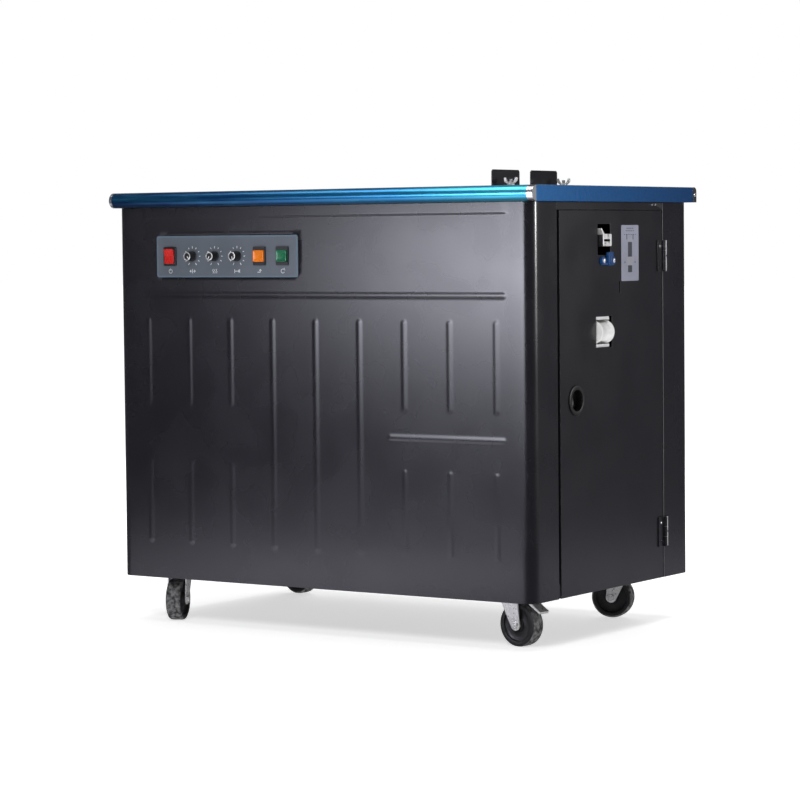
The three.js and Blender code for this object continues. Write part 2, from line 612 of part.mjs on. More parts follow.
function frameHingeLeaf([z0, z1]) {
  const { frameReach, clear } = HINGE_LEAF;
  const [, middle] = hingeKnuckles(z0, z1);
  const plate = leafStrip(clear, frameReach, z0, z1);
  const tab = leafStrip(2, clear + 3, middle[0], middle[1]);
  const pin = rod("z", PIN.radius, z0 - BITE, z1 + BITE).translate(PIN.x, PIN.y, 0);
  return join(plate, tab, knuckle(middle), pin);
}

function guideClip() {
  const x = RIGHT_X + GAP;
  const outline = polygon([
    [-46, 640], [-32, 643], [-24, 641], [-16, 643], [-3, 639],
    [-2, 652], [-12, 662], [-24, 652], [-36, 662], [-46, 653],
  ]);
  const thick = 6;
  return alongX(outline, x, x + thick);
}

function addDoor() {
  add("side_door", sideDoor(), FINISH.blackPaint);
  add("finger_cup", fingerCup(), FINISH.blackPlastic);
  add("guide_clip", guideClip(), FINISH.blue);
  for (const [name, span] of Object.entries(HINGES)) {
    add(`${name}_hinge_door_leaf`, doorHingeLeaf(span), FINISH.blackPaint);
    add(`${name}_hinge_frame_leaf`, frameHingeLeaf(span), FINISH.blackPaint);
  }
}

// ---------------------------------------------------------------- strap path
function strapInletGuide() {
  const { x0, x1, sheet, y0, y1, z, slotZ, slotHeight, slotMargin, plate } = GUIDE;
  const lipUp = z + 31;
  const nose = polygon([
    [y0, z], [y1, z], [y1, z + 21], [y0 + 6, z + 21], [y0 - 4, lipUp], [y0 - 5, lipUp - 3], [y0, z + 20],
  ]);
  const backPlate = slab(x0, x0 + sheet, plate.y0, plate.y1, plate.z0, plate.z1);
  const strapSlot = slab(x0 - PAST, x1 + PAST, y0 + slotMargin, y1 - slotMargin, slotZ, slotZ + slotHeight);
  return cut(join(alongX(nose, x0 + sheet - BITE, x1), backPlate), strapSlot);
}

function rollerBracket() {
  const { back, front, sheet, z0, z1, hangerTop } = BRACKET;
  const room = 0.7;
  const [innerY0, innerY1] = [ROLLER.y0 - room, ROLLER.y1 + room];
  const [y0, y1] = [innerY0 - sheet, innerY1 + sheet];
  const shell = cut(
    slab(back, front, y0, y1, z0, z1),
    slab(back + sheet, front + PAST, innerY0, innerY1, z0 + sheet, z1 - sheet),
  );
  const axle = rod("y", ROLLER.axle, y0 + BITE, y1 - BITE).translate(ROLLER.x, 0, ROLLER.z);
  const hanger = slab(back, back + sheet, y0, y1, z1 - BITE, hangerTop);
  return join(shell, axle, hanger);
}

function inletRoller() {
  const { y0, y1, flange, body, axle } = ROLLER;
  const bore = axle + GAP;
  const profile = [
    [bore, y0], [flange, y0], [flange, y0 + 3], [body, y0 + 6],
    [body, y1 - 6], [flange, y1 - 3], [flange, y1], [bore, y1], [bore, y0],
  ];
  return turned(profile, "y", 24).translate(ROLLER.x, 0, ROLLER.z);
}

function reelStand() {
  const { x0, x1, sheet, halfY, top, spindleX0, spindleX1 } = STAND;
  const foot = FRAME.foot;
  return join(
    slab(x1 - sheet, x1, -halfY, halfY, foot, top),
    slab(x0, x1, -halfY, halfY, foot, foot + sheet),
    rod("x", REEL.spindle, spindleX0, spindleX1, 20).translate(0, 0, REEL.z),
  );
}

function strapReel() {
  const { x0, x1, radius, drum, spindle, wall } = REEL;
  const bore = spindle + GAP;
  const hub = bore + 8;
  const profile = [
    [bore, x0], [radius, x0], [radius, x0 + wall], [drum, x0 + wall],
    [drum, x1 - wall], [radius, x1 - wall], [radius, x1], [drum - 4, x1],
    [hub, x0 + 12], [hub, x1], [bore, x1], [bore, x0],
  ];
  return turned(profile, "x", 24).translate(0, 0, REEL.z);
}

function addStrapPath() {
  add("strap_inlet_guide", strapInletGuide(), FINISH.zinc);
  add("roller_bracket", rollerBracket(), FINISH.zinc);
  add("inlet_roller", inletRoller(), FINISH.nylon);
  add("reel_stand", reelStand(), FINISH.darkPaint);
  add("strap_reel", strapReel(), FINISH.grey);
}

// ---------------------------------------------------------------- sealing mechanism
const PINCH_Z = FEED.z + FEED.radius + PINCH.radius + PINCH.gap;

function mechanismFrame() {
  const { x0, x1, feedEnd, halfY, plate, bottom, sideBottom } = MECH;
  const top = TABLE.bottom - 0.1;
  const body = join(
    slab(x0, x0 + plate, -halfY, halfY, bottom, top),
    slab(x1 - plate, x1, -halfY, halfY, bottom, top),
    slab(x0, feedEnd, -halfY, -halfY + plate, sideBottom, top),
    slab(x0, feedEnd, halfY - plate, halfY, sideBottom, top),
    slab(x0, x1, -halfY, halfY, DECK.bottom, DECK.top),
  );
  const room = 0.4;
  const windows = Object.values(SLIDES).map(([a, b]) =>
    slab(a - room, b + room, SLIDE.y0 - room, SLIDE.y1 + room, DECK.bottom - PAST, DECK.top + PAST),
  );
  const bore = (journal, z) => rod("y", journal + room, -halfY - PAST, halfY + PAST).translate(FEED.x, 0, z);
  return cut(
    body,
    ...windows,
    rod("x", SHAFT.radius + room, x0 - PAST, x1 + PAST, 16).translate(0, SHAFT.y, SHAFT.z),
    bore(FEED.journal, FEED.z),
    bore(PINCH.journal, PINCH_Z),
  );
}

function camshaft() {
  const { x0, x1, y, z, radius, cam, camHalf, offset } = SHAFT;
  const cams = Object.values(SLIDES).map(([a, b], i) => {
    const turn = (i * 2 * Math.PI) / 3;
    const middle = (a + b) / 2;
    const disc = rod("x", cam, middle - camHalf, middle + camHalf, 14);
    return disc.translate(0, offset * Math.sin(turn), -offset * Math.cos(turn));
  });
  return join(rod("x", radius, x0, x1, 12), ...cams).translate(0, y, z);
}

// A gear motor: the motor's barrel, its terminal box and the gear case bolted to it as one casting.
function gearMotor() {
  const { x0, x1, radius, cap, flange, caseHalf, caseEnd } = MOTOR;
  const { y, z } = SHAFT;
  const profile = [
    [0, x0], [cap, x0], [radius, x0 + 10], [radius, x1 - 12],
    [flange, x1 - 12], [flange, x1 + 5], [0, x1 + 5],
  ];
  const gearCase = roundedRect(y - caseHalf, y + caseHalf, z - caseHalf, z + caseHalf - 5, 10);
  return join(
    turned(profile, "x").translate(0, y, z),
    slab(x0 + 50, x1 - 45, y - 25, y + 25, z + radius - 6, z + radius + 18),
    alongX(gearCase, x1, caseEnd, 4),
  );
}

function crossRoller(radius, journal, z) {
  const end = FEED.halfWidth;
  const tip = end + FEED.stub;
  const profile = [
    [0, -tip], [journal, -tip], [journal, -end], [radius, -end],
    [radius, end], [journal, end], [journal, tip], [0, tip],
  ];
  return turned(profile, "y", 20).translate(FEED.x, 0, z);
}

function heaterBlade() {
  const { x0, x1, y0, y1, z0, z1 } = HEATER;
  const arm = slab(HEATER_ARM.x0, HEATER_ARM.x1, HEATER_ARM.y, y1, HEATER_ARM.bottom, z0 + BITE);
  return join(slab(x0, x1, y0, y1, z0, z1), arm);
}

function addMechanism() {
  add("mechanism_frame", mechanismFrame(), FINISH.steel);
  add("gear_motor", gearMotor(), FINISH.grey);
  add("camshaft", camshaft(), FINISH.steel);
  for (const [name, [x0, x1]] of Object.entries(SLIDES)) {
    add(name, slab(x0, x1, SLIDE.y0, SLIDE.y1, SLIDE.bottom, SLIDE.top), FINISH.steel);
  }
  add("heater_blade", heaterBlade(), FINISH.steel);
  add("feed_roller", crossRoller(FEED.radius, FEED.journal, FEED.z), FINISH.rubber);
  add("pinch_roller", crossRoller(PINCH.radius, PINCH.journal, PINCH_Z), FINISH.steel);
}

// ---------------------------------------------------------------- casters
// Drawn with the swivel axis at the origin, the wheel trailing along +X and its axle along Y.
function casterFork() {
  const { trail, plateBottom } = CASTER;
  const { sheet, rear, front, crownZ, shoulderZ, eye, room, race } = FORK;
  const inside = WHEEL.halfWidth + room;
  const outside = inside + sheet;
  const crownTop = crownZ + 3;
  const cheek = new THREE.Shape();
  cheek.moveTo(rear + 4, crownTop);
  cheek.lineTo(rear + 18, shoulderZ);
  cheek.absarc(trail, WHEEL.radius, eye, Math.PI * 1.15, Math.PI * 1.98);
  cheek.lineTo(front, shoulderZ);
  cheek.lineTo(front, crownTop);
  const dome = [
    [0, crownTop - BITE], [race - 2, crownTop - BITE], [race, crownTop + 3],
    [race - 3, plateBottom - GAP], [0, plateBottom - GAP],
  ];
  return join(
    slab(rear, front, -outside, outside, crownZ, crownTop),
    alongY(cheek, inside, outside, 5),
    alongY(cheek, -outside, -inside, 5),
    turned(dome, "z", 16),
    rod("y", WHEEL.axle, -outside - 2.5, outside + 2.5).translate(trail, 0, WHEEL.radius),
  );
}

// The outer radius is measured across flats, so that the lowest facet lies flat on the floor.
function casterWheel() {
  const w = WHEEL.halfWidth;
  const r = WHEEL.radius / Math.cos(Math.PI / WHEEL.segments);
  const bore = WHEEL.axle + GAP;
  const profile = [
    [bore, -w - 1], [14, -w - 1], [18, -w + 3], [28, -w], [r - 2, -w], [r, -w + 2],
    [r, w - 2], [r - 2, w], [28, w], [18, w - 3], [14, w + 1], [bore, w + 1], [bore, -w - 1],
  ];
  return turned(profile, "y", WHEEL.segments).translate(CASTER.trail, 0, WHEEL.radius);
}

const brakePedal = () => alongY(polygon(PEDAL.outline), -PEDAL.halfWidth, PEDAL.halfWidth);

function addCasters() {
  const corners = { fl: [-1, -1], fr: [1, -1], rr: [1, 1], rl: [-1, 1] };
  for (const [key, [sx, sy]] of Object.entries(corners)) {
    const caster = new THREE.Group();
    caster.position.set(CABINET.centreX + sx * CASTER.x, sy * CASTER.y, 0);
    caster.rotation.z = THREE.MathUtils.degToRad(HEADINGS[key]);
    group.add(caster);
    add(`caster_fork_${key}`, casterFork(), FINISH.zinc, caster);
    add(`caster_wheel_${key}`, casterWheel(), FINISH.rubber, caster);
    if (key === "fr") add("brake_pedal", brakePedal(), FINISH.zinc, caster);
  }
}

addCabinet();
addTable();
addControls();
addDoor();
addStrapPath();
addMechanism();
addCasters();

export default group;
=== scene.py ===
"""Looks of the semi automatic strapping machine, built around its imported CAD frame. Metres throughout."""
import json
import math
import bmesh
import bpy
from mathutils import Matrix, Vector


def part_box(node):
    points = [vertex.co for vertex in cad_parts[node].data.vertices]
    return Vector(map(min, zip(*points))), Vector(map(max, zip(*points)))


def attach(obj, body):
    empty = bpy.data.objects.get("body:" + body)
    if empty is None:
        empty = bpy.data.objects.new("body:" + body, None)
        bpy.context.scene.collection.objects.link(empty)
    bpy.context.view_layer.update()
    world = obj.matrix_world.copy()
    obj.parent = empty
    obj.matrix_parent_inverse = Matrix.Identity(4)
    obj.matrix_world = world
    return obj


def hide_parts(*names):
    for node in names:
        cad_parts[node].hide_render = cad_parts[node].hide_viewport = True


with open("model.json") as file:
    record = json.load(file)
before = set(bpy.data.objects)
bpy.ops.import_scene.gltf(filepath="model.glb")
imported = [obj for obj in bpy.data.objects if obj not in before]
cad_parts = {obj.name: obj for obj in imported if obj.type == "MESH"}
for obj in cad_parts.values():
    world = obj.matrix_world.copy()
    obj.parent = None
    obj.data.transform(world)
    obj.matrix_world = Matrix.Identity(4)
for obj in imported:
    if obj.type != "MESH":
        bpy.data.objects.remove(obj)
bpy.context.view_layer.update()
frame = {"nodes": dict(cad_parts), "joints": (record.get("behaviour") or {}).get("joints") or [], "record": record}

MM = 0.001
RECORD = frame["record"]
BODY_OF = {node: body for body, nodes in RECORD["behaviour"]["bodies"].items() for node in nodes}
SLOT_OF = {part["node"]: part["material_slot"] for part in RECORD["subparts"]}
JOINT = {joint["name"]: joint for joint in frame["joints"]}
X, Y, Z = Vector((1, 0, 0)), Vector((0, 1, 0)), Vector((0, 0, 1))
TABLE_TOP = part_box("right_edge_trim")[1].z
DOOR_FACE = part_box("side_door")[1].x
CABINET_HALF_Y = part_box("rear_panel")[1].y
PLATE_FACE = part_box("control_plate")[0].y

# ------ material building blocks


class Nodes:
    """Adds and joins the nodes of one tree."""

    def __init__(self, tree):
        self.tree = tree

    def node(self, kind, **values):
        made = self.tree.nodes.new(kind)
        for key, value in values.items():
            if hasattr(made, key):
                setattr(made, key, value)
            else:
                made.inputs[key.replace("_", " ")].default_value = value
        return made

    def link(self, source, target):
        self.tree.links.new(source, target)

    def feed(self, socket, value):
        """A link when the value is another node's output, else a constant; colours are (r, g, b)."""
        if isinstance(value, bpy.types.NodeSocket):
            self.link(value, socket)
        else:
            socket.default_value = (*value, 1) if isinstance(value, tuple) else value

    def mix(self, factor, first, second):
        made = self.node("ShaderNodeMix", data_type="RGBA")
        sockets = (made.inputs[0], made.inputs[6], made.inputs[7])
        for socket, value in zip(sockets, (factor, first, second)):
            self.feed(socket, value)
        return made.outputs[2]


class Shader(Nodes):
    """One material, with the shared building blocks of the finishes."""

    def __init__(self, name):
        self.material = bpy.data.materials.new(name)
        self.material.use_nodes = True
        super().__init__(self.material.node_tree)
        self.surface = self.tree.nodes["Principled BSDF"]
        self.place = self.tree.nodes.new("ShaderNodeTexCoord").outputs["Object"]
        self.height = None

    def set(self, **values):
        for key, value in values.items():
            self.surface.inputs[key.replace("_", " ")].default_value = value

    def noise(self, scale, detail=3.0, stretch=(1, 1, 1)):
        mapping = self.node("ShaderNodeMapping")
        mapping.inputs["Scale"].default_value = stretch
        self.link(self.place, mapping.inputs["Vector"])
        grain = self.node("ShaderNodeTexNoise", Scale=scale, Detail=detail)
        self.link(mapping.outputs["Vector"], grain.inputs["Vector"])
        return grain.outputs["Fac"]

    def ramp(self, factor, stops):
        """Colour stops are (position, (r, g, b)) in linear light."""
        made = self.node("ShaderNodeValToRGB")
        elements = made.color_ramp.elements
        while len(elements) < len(stops):
            elements.new(0.5)
        for element, (position, colour) in zip(elements, stops):
            element.position = position
            element.color = (*colour, 1)
        self.link(factor, made.inputs["Fac"])
        return made.outputs["Color"]

    def remap(self, factor, low, high, start=0.3, stop=0.7, soft=False):
        made = self.node("ShaderNodeMapRange", interpolation_type="SMOOTHSTEP" if soft else "LINEAR")
        for key, value in (("From Min", start), ("From Max", stop), ("To Min", low), ("To Max", high)):
            made.inputs[key].default_value = value
        self.link(factor, made.inputs["Value"])
        return made.outputs["Result"]

    def calc(self, operation, *values):
        made = self.node("ShaderNodeMath", operation=operation)
        for socket, value in zip(made.inputs, values):
            self.feed(socket, value)
        return made.outputs[0]

    def colour(self, source):
        self.link(source, self.surface.inputs["Base Color"])

    def roughness(self, factor, low, high, soft=False):
        self.link(self.remap(factor, low, high, soft=soft), self.surface.inputs["Roughness"])

    def bump(self, height, distance, strength=1.0):
        made = self.node("ShaderNodeBump", Distance=distance, Strength=strength)
        self.link(height, made.inputs["Height"])
        if self.height is not None:
            self.link(self.height, made.inputs["Normal"])
        self.height = made.outputs["Normal"]
        self.link(self.height, self.surface.inputs["Normal"])

    def edge_mask(self, radius):
        """1 on sharp edges, 0 on flats: where handling rubs the finish."""
        geometry = self.node("ShaderNodeNewGeometry")
        soft = self.node("ShaderNodeBevel", Radius=radius)
        soft.samples = 4
        dot = self.node("ShaderNodeVectorMath", operation="DOT_PRODUCT")
        self.link(geometry.outputs["Normal"], dot.inputs[0])
        self.link(soft.outputs["Normal"], dot.inputs[1])
        return self.remap(dot.outputs["Value"], 1.0, 0.0, start=5 / 6, stop=1.0)

    def axis(self, letter):
        split = self.node("ShaderNodeSeparateXYZ")
        self.link(self.place, split.inputs[0])
        return split.outputs[letter]


def tint(colour, factor):
    return tuple(channel * factor for channel in colour)


def satin_paint(name, colour, roughness=0.3, worn=0.0):
    s = Shader(name)
    patches = s.noise(7.0, 4.0)
    base = s.mix(s.remap(patches, 0.0, 1.0, soft=True), tint(colour, 0.9), tint(colour, 1.1))
    if worn:
        chips = s.remap(s.noise(260.0, 5.0), 0.0, worn, start=0.45, stop=0.62)
        rub = s.calc("MULTIPLY", s.edge_mask(1.2 * MM), chips)
        base = s.mix(rub, base, (0.32, 0.32, 0.33))
    s.colour(base)
    s.set(Coat_Weight=0.12, Coat_Roughness=0.12)
    s.roughness(s.noise(12.0, 2.0), roughness - 0.02, roughness + 0.02, soft=True)
    s.bump(s.noise(3.0, 0.0), 0.0010, 0.14)
    s.bump(s.noise(700.0, 1.0), 0.00002, 0.15)
    return s.material


def brushed_metal(name, colour, roughness=0.3, grain=(1, 60, 60), metallic=1.0):
    s = Shader(name)
    lines = s.noise(40.0, 4.0, grain)
    s.colour(s.ramp(lines, [(0.25, tint(colour, 0.75)), (0.75, colour)]))
    s.set(Metallic=metallic)
    s.roughness(lines, roughness - 0.08, roughness + 0.12)
    s.bump(lines, 0.00003, 0.6)
    return s.material


def zinc_plate(name, colour=(0.86, 0.86, 0.84), roughness=0.33):
    s = Shader(name)
    spangle = s.noise(160.0, 4.0)
    stains = s.noise(22.0, 4.0)
    clean = s.ramp(spangle, [(0.3, tint(colour, 0.82)), (0.7, tint(colour, 1.1))])
    s.colour(s.mix(s.remap(stains, 0.0, 0.2, 0.5, 0.8), clean, (0.2, 0.19, 0.17)))
    s.set(Metallic=0.6)
    s.roughness(spangle, roughness - 0.1, roughness + 0.12)
    s.bump(spangle, 0.00006, 0.6)
    return s.material


def moulded_plastic(name, colour, roughness=0.38, coat=0.0):
    s = Shader(name)
    s.colour(s.ramp(s.noise(35.0, 4.0), [(0.3, tint(colour, 0.85)), (0.7, tint(colour, 1.1))]))
    s.set(Coat_Weight=coat, Coat_Roughness=0.08, Specular_IOR_Level=0.35)
    s.roughness(s.noise(300.0, 3.0), roughness - 0.06, roughness + 0.08)
    s.bump(s.noise(2600.0, 2.0), 0.00003, 0.4)
    return s.material


def film_with_painted_light(name, letter, span, stops, roughness=0.2, metallic=0.2, bottom_painted_shade=1.0):
    """Film over an aluminium edge, creased, with a pale torn upper edge; its tone runs along one axis as painted
    light, and its lower part is darkened as painted shade.
    """
    s = Shader(name)
    along = s.remap(s.axis(letter), 0.0, 1.0, start=span[0], stop=span[1])
    streaks = s.noise(30.0, 4.0, (0.3, 4, 4))
    # Painted light: the colour ramp along the axis stands in for how the light falls along the edge.
    clear = s.ramp(along, stops)
    tone = s.mix(s.remap(streaks, 0.0, 0.35), clear, tint(stops[-1][1], 0.55))
    # Painted shade: the tone is scaled down towards the bottom of the edge.
    upper = s.remap(s.axis("Z"), bottom_painted_shade, 1.0, start=TABLE_TOP - 26 * MM, stop=TABLE_TOP - 8 * MM)
    tone_with_painted_shade = s.node("ShaderNodeVectorMath", operation="SCALE")
    s.link(tone, tone_with_painted_shade.inputs[0])
    s.link(upper, tone_with_painted_shade.inputs["Scale"])
    ragged = s.calc("MULTIPLY_ADD", s.noise(150.0, 3.0), 4 * MM, s.axis("Z"))
    torn = s.remap(ragged, 0.0, 0.55, start=TABLE_TOP + 0.8 * MM, stop=TABLE_TOP + 1.8 * MM)
    s.colour(s.mix(torn, tone_with_painted_shade.outputs[0], (0.22, 0.32, 0.40)))
    s.set(Metallic=metallic, Coat_Weight=0.1, Coat_Roughness=0.12, Specular_IOR_Level=0.25)
    s.roughness(streaks, roughness - 0.05, roughness + 0.1)
    s.bump(s.noise(26.0, 3.0, (0.35, 2, 2)), 0.0006, 0.5)
    s.bump(s.noise(420.0, 2.0), 0.00005, 0.4)
    return s.material


def rubber(name, colour, roughness=0.7, scuff=0.0):
    s = Shader(name)
    base = s.ramp(s.noise(60.0, 4.0), [(0.3, tint(colour, 0.7)), (0.7, tint(colour, 1.3))])
    if scuff:
        marks = s.remap(s.noise(150.0, 8.0), 0.0, 1.0, start=0.38, stop=0.68)
        base = s.mix(marks, base, (scuff, scuff, scuff * 1.01))
    s.colour(base)
    s.roughness(s.noise(140.0, 4.0), roughness - 0.12, roughness + 0.15)
    s.bump(s.noise(420.0, 5.0), 0.0003, 0.7)
    return s.material


def printed_sheet(name, colour, roughness=0.42):
    s = Shader(name)
    s.colour(s.ramp(s.noise(18.0, 4.0), [(0.3, tint(colour, 0.9)), (0.7, tint(colour, 1.08))]))
    s.roughness(s.noise(240.0, 4.0), roughness - 0.06, roughness + 0.08)
    s.bump(s.noise(1800.0, 2.0), 0.00002, 0.5)
    return s.material


# Painted highlight: the nosing film runs from dark navy at the left end to bright cyan at the right end.
NOSE_FILM_PAINTED_HIGHLIGHT = [
    (0.0, (0.003, 0.022, 0.100)),
    (0.35, (0.005, 0.060, 0.220)),
    (0.7, (0.015, 0.190, 0.440)),
    (0.95, (0.070, 0.520, 0.760)),
]
# Painted shade: the side film is lighter at the front end and darker towards the back.
SIDE_FILM_PAINTED_SHADE = [(0.0, (0.002, 0.125, 0.38)), (1.0, (0.002, 0.050, 0.175))]
TABLE_HALF_X, TABLE_HALF_Y = 447.5 * MM, 284.5 * MM

PAINT_COLOUR = (0.0080, 0.0079, 0.0108)
PAINT = satin_paint("black_paint", PAINT_COLOUR, 0.27)
FINISH = {
    "black_paint": satin_paint("black_paint_worn", PAINT_COLOUR, 0.3, worn=0.35),
    "dark_paint": satin_paint("dark_paint", (0.016, 0.016, 0.018), 0.5),
    "steel": brushed_metal("bright_steel", (0.56, 0.57, 0.58), 0.3, (60, 60, 1)),
    "stainless": brushed_metal("brushed_stainless", (0.6, 0.61, 0.62), 0.28),
    "zinc": zinc_plate("zinc_plate"),
    # Nosing film with a painted highlight along it and painted shade on its lower part.
    "blue_film": film_with_painted_light("edge_film_painted_highlight", "X", (-TABLE_HALF_X, TABLE_HALF_X), NOSE_FILM_PAINTED_HIGHLIGHT,
                                 metallic=0.65, bottom_painted_shade=0.5),
    "slate": printed_sheet("slate_plate", (0.078, 0.092, 0.112)),
    "black_plastic": moulded_plastic("black_plastic", (0.012, 0.012, 0.013), 0.34),
    "red_plastic": moulded_plastic("red_plastic", (0.52, 0.012, 0.008), 0.28, 0.1),
    "orange_plastic": moulded_plastic("orange_plastic", (0.70, 0.165, 0.001), 0.28, 0.1),
    "green_plastic": moulded_plastic("green_plastic", (0.0015, 0.105, 0.042), 0.28, 0.1),
    "blue_plastic": moulded_plastic("blue_plastic", (0.012, 0.070, 0.230), 0.3, 0.3),
    "nylon": moulded_plastic("white_nylon", (0.93, 0.93, 0.92), 0.42),
    "rubber": rubber("wheel_rubber", (0.012, 0.012, 0.0125), 0.5),
    "grey_metal": zinc_plate("cast_grey", (0.34, 0.35, 0.36), 0.45),
    "grey_sheet": satin_paint("grey_sheet", (0.2, 0.21, 0.22), 0.45),
}
TREAD = rubber("worn_tread", (0.02, 0.02, 0.021), 0.8, scuff=0.22)
BARE = brushed_metal("bare_aluminium", (0.72, 0.73, 0.74), 0.25)
END_GREY = satin_paint("end_face_grey", (0.22, 0.23, 0.25), 0.4)
END_DARK = satin_paint("end_cap_dark", (0.03, 0.03, 0.033), 0.35)
# Painted highlight: a grey well above the black paint, so the hem shows as a pale line.
HEM_PAINTED_HIGHLIGHT = satin_paint("hem_painted_highlight", (0.10, 0.10, 0.105), 0.55)
# Side film with painted shade, darker towards the back.
SIDE_TRIM_FILM_PAINTED_SHADE = film_with_painted_light("side_film_painted_shade", "Y", (-TABLE_HALF_Y, TABLE_HALF_Y), SIDE_FILM_PAINTED_SHADE,
                                 roughness=0.34)
BORDER = printed_sheet("plate_border", (0.075, 0.13, 0.18))
WHITE_INK = printed_sheet("white_print", (0.75, 0.78, 0.8), 0.5)
CUP_BLACK = moulded_plastic("cup_black", (0.004, 0.004, 0.0045), 0.5)
LABEL_PAPER = printed_sheet("label_sheet", (0.32, 0.33, 0.42), 0.4)
LABEL_PALE = printed_sheet("label_pale_print", (0.36, 0.36, 0.42), 0.4)
LABEL_DARK = printed_sheet("label_dark_print", (0.05, 0.055, 0.075), 0.4)
# Near-white paint; beside the hinge knuckles it stands as a painted highlight.
BRIGHT_EDGE = satin_paint("bright_edge", (0.88, 0.88, 0.89), 0.4)
# Painted shade: near-black for the dark notch in the header's corner.
MITRE_PAINTED_SHADE = satin_paint("mitre_painted_shade", (0.0015, 0.0015, 0.0015), 0.7)
TABLE_STEEL = brushed_metal("table_stainless", (0.46, 0.465, 0.47), 0.42, metallic=0.5)
BRIGHT_NUT = zinc_plate("bright_nut", (0.9, 0.9, 0.89), 0.42)
SILVER = zinc_plate("screw_zinc", (0.8, 0.8, 0.79), 0.2)

# ------ mesh building blocks


def finish_piece(name, bm, materials, body, stands_for=(), slot=None, sharp=32, bevel=0.0, segments=2):
    bmesh.ops.recalc_face_normals(bm, faces=bm.faces)
    mesh = bpy.data.meshes.new(name)
    bm.to_mesh(mesh)
    bm.free()
    for material in materials:
        mesh.materials.append(material)
    mesh.polygons.foreach_set("use_smooth", [True] * len(mesh.polygons))
    mesh.set_sharp_from_angle(angle=math.radians(sharp))
    piece = bpy.data.objects.new(name, mesh)
    bpy.context.scene.collection.objects.link(piece)
    if bevel:
        rounding = piece.modifiers.new("rounding", "BEVEL")
        rounding.width = bevel
        rounding.segments = segments
        rounding.limit_method = "ANGLE"
        rounding.angle_limit = math.radians(sharp)
        rounding.harden_normals = True
    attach(piece, body)
    if stands_for:
        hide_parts(*stands_for)
        slot = slot or SLOT_OF[stands_for[0]]
    return piece


def stand_in(node, made, bm, materials=None, **look):
    """A piece named after the one CAD node that it replaces, and after how it is made."""
    materials = materials or [FINISH[SLOT_OF[node]]]
    return finish_piece(f"{node}_{made}", bm, materials, BODY_OF[node], (node,), **look)


def refined(node, bevel=0.4 * MM, segments=2, material=None, sharp=32):
    """The CAD shape with its coplanar facets merged and its edges rounded."""
    bm = bmesh.new()
    bm.from_mesh(frame["nodes"][node].data)
    bmesh.ops.remove_doubles(bm, verts=bm.verts, dist=1e-6)
    bmesh.ops.dissolve_limit(bm, angle_limit=math.radians(0.5), verts=bm.verts, edges=bm.edges)
    for face in bm.faces:
        face.material_index = 0
    materials = [material] if material else None
    return stand_in(node, "finished", bm, materials, sharp=sharp, bevel=bevel, segments=segments)


def arc(radius, start, sweep, steps):
    """Points along an arc, both ends included; angles in radians."""
    angles = [start + sweep * i / steps for i in range(steps + 1)]
    return [(radius * math.cos(a), radius * math.sin(a)) for a in angles]


def ring_points(count, radius):
    return arc(radius, 0.0, 2 * math.pi, count)[:-1]


def add_lathe(bm, profile, segments, place, material_of=None):
    """Turns (radius, height) points about local Z; a profile off the axis closes on itself."""
    closed = profile[0][0] > 0
    rings = []
    for radius, height in profile:
        if radius <= 0:
            rings.append([bm.verts.new(place @ Vector((0, 0, height)))])
        else:
            circle = ring_points(segments, radius)
            rings.append([bm.verts.new(place @ Vector((c, s, height))) for c, s in circle])
    pairs = list(zip(rings, rings[1:]))
    if closed:
        pairs.append((rings[-1], rings[0]))
    for index, (low, high) in enumerate(pairs):
        for i in range(segments):
            j = (i + 1) % segments
            corners = [low[i % len(low)], low[j % len(low)], high[j % len(high)], high[i % len(high)]]
            unique = list(dict.fromkeys(corners))
            if len(unique) > 2:
                face = bm.faces.new(unique)
                face.material_index = material_of(index) if material_of else 0


def add_loft(bm, outlines, place):
    """Joins closed outlines of equal point count, each a (points, height) pair; returns the far cap."""
    rings = []
    for points, height in outlines:
        rings.append([bm.verts.new(place @ Vector((u, v, height))) for u, v in points])
    bm.faces.new(rings[0][::-1])
    for low, high in zip(rings, rings[1:]):
        for i in range(len(low)):
            j = (i + 1) % len(low)
            bm.faces.new((low[i], low[j], high[j], high[i]))
    return bm.faces.new(rings[-1])


def add_prism(bm, outline, low, high, place):
    """Pushes a closed 2-D outline from height low to high along local Z; returns the far cap."""
    return add_loft(bm, [(outline, low), (outline, high)], place)


def rounded_rect(half_u, half_v, radius, steps=6):
    points = []
    for quadrant, (side_u, side_v) in enumerate(((1, 1), (-1, 1), (-1, -1), (1, -1))):
        u, v = side_u * (half_u - radius), side_v * (half_v - radius)
        points += [(u + c, v + s) for c, s in arc(radius, math.pi / 2 * quadrant, math.pi / 2, steps)]
    return points


def lathed(profile, segments, place, material_of=None):
    bm = bmesh.new()
    add_lathe(bm, profile, segments, place, material_of)
    return bm


def pushed(outline, low, high, place):
    bm = bmesh.new()
    add_prism(bm, outline, low, high, place)
    return bm


def axes_to(origin, u, v):
    """Local X, Y, Z map to u, v and u x v at the origin."""
    u, v = Vector(u).normalized(), Vector(v).normalized()
    w = u.cross(v)
    return Matrix.Translation(Vector(origin)) @ Matrix((u, v, w)).transposed().to_4x4()


def facing_front(x, y, z):
    """Local X right, local Y up, local Z out of the front."""
    return axes_to((x, y, z), X, Z)


def facing_right(x, y, z):
    """Local X to the back, local Y up, local Z out of the right side."""
    return axes_to((x, y, z), Y, Z)


def centre_of(node):
    low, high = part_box(node)
    return (low + high) / 2


def grid_lines(low, high, spots, step=20 * MM):
    """Lines from low to high: every spot, and fill lines where spots lie further than step apart."""
    marks = sorted({round(v, 6) for v in [low, high, *spots] if low <= v <= high})
    merged = [marks[0]]
    for mark in marks[1:]:
        if mark - merged[-1] > 0.0003:
            merged.append(mark)
    merged[-1] = high
    lines = []
    for a, b in zip(merged, merged[1:]):
        count = max(1, math.ceil((b - a) / step))
        lines += [a + (b - a) * i / count for i in range(count)]
    return lines + [high]


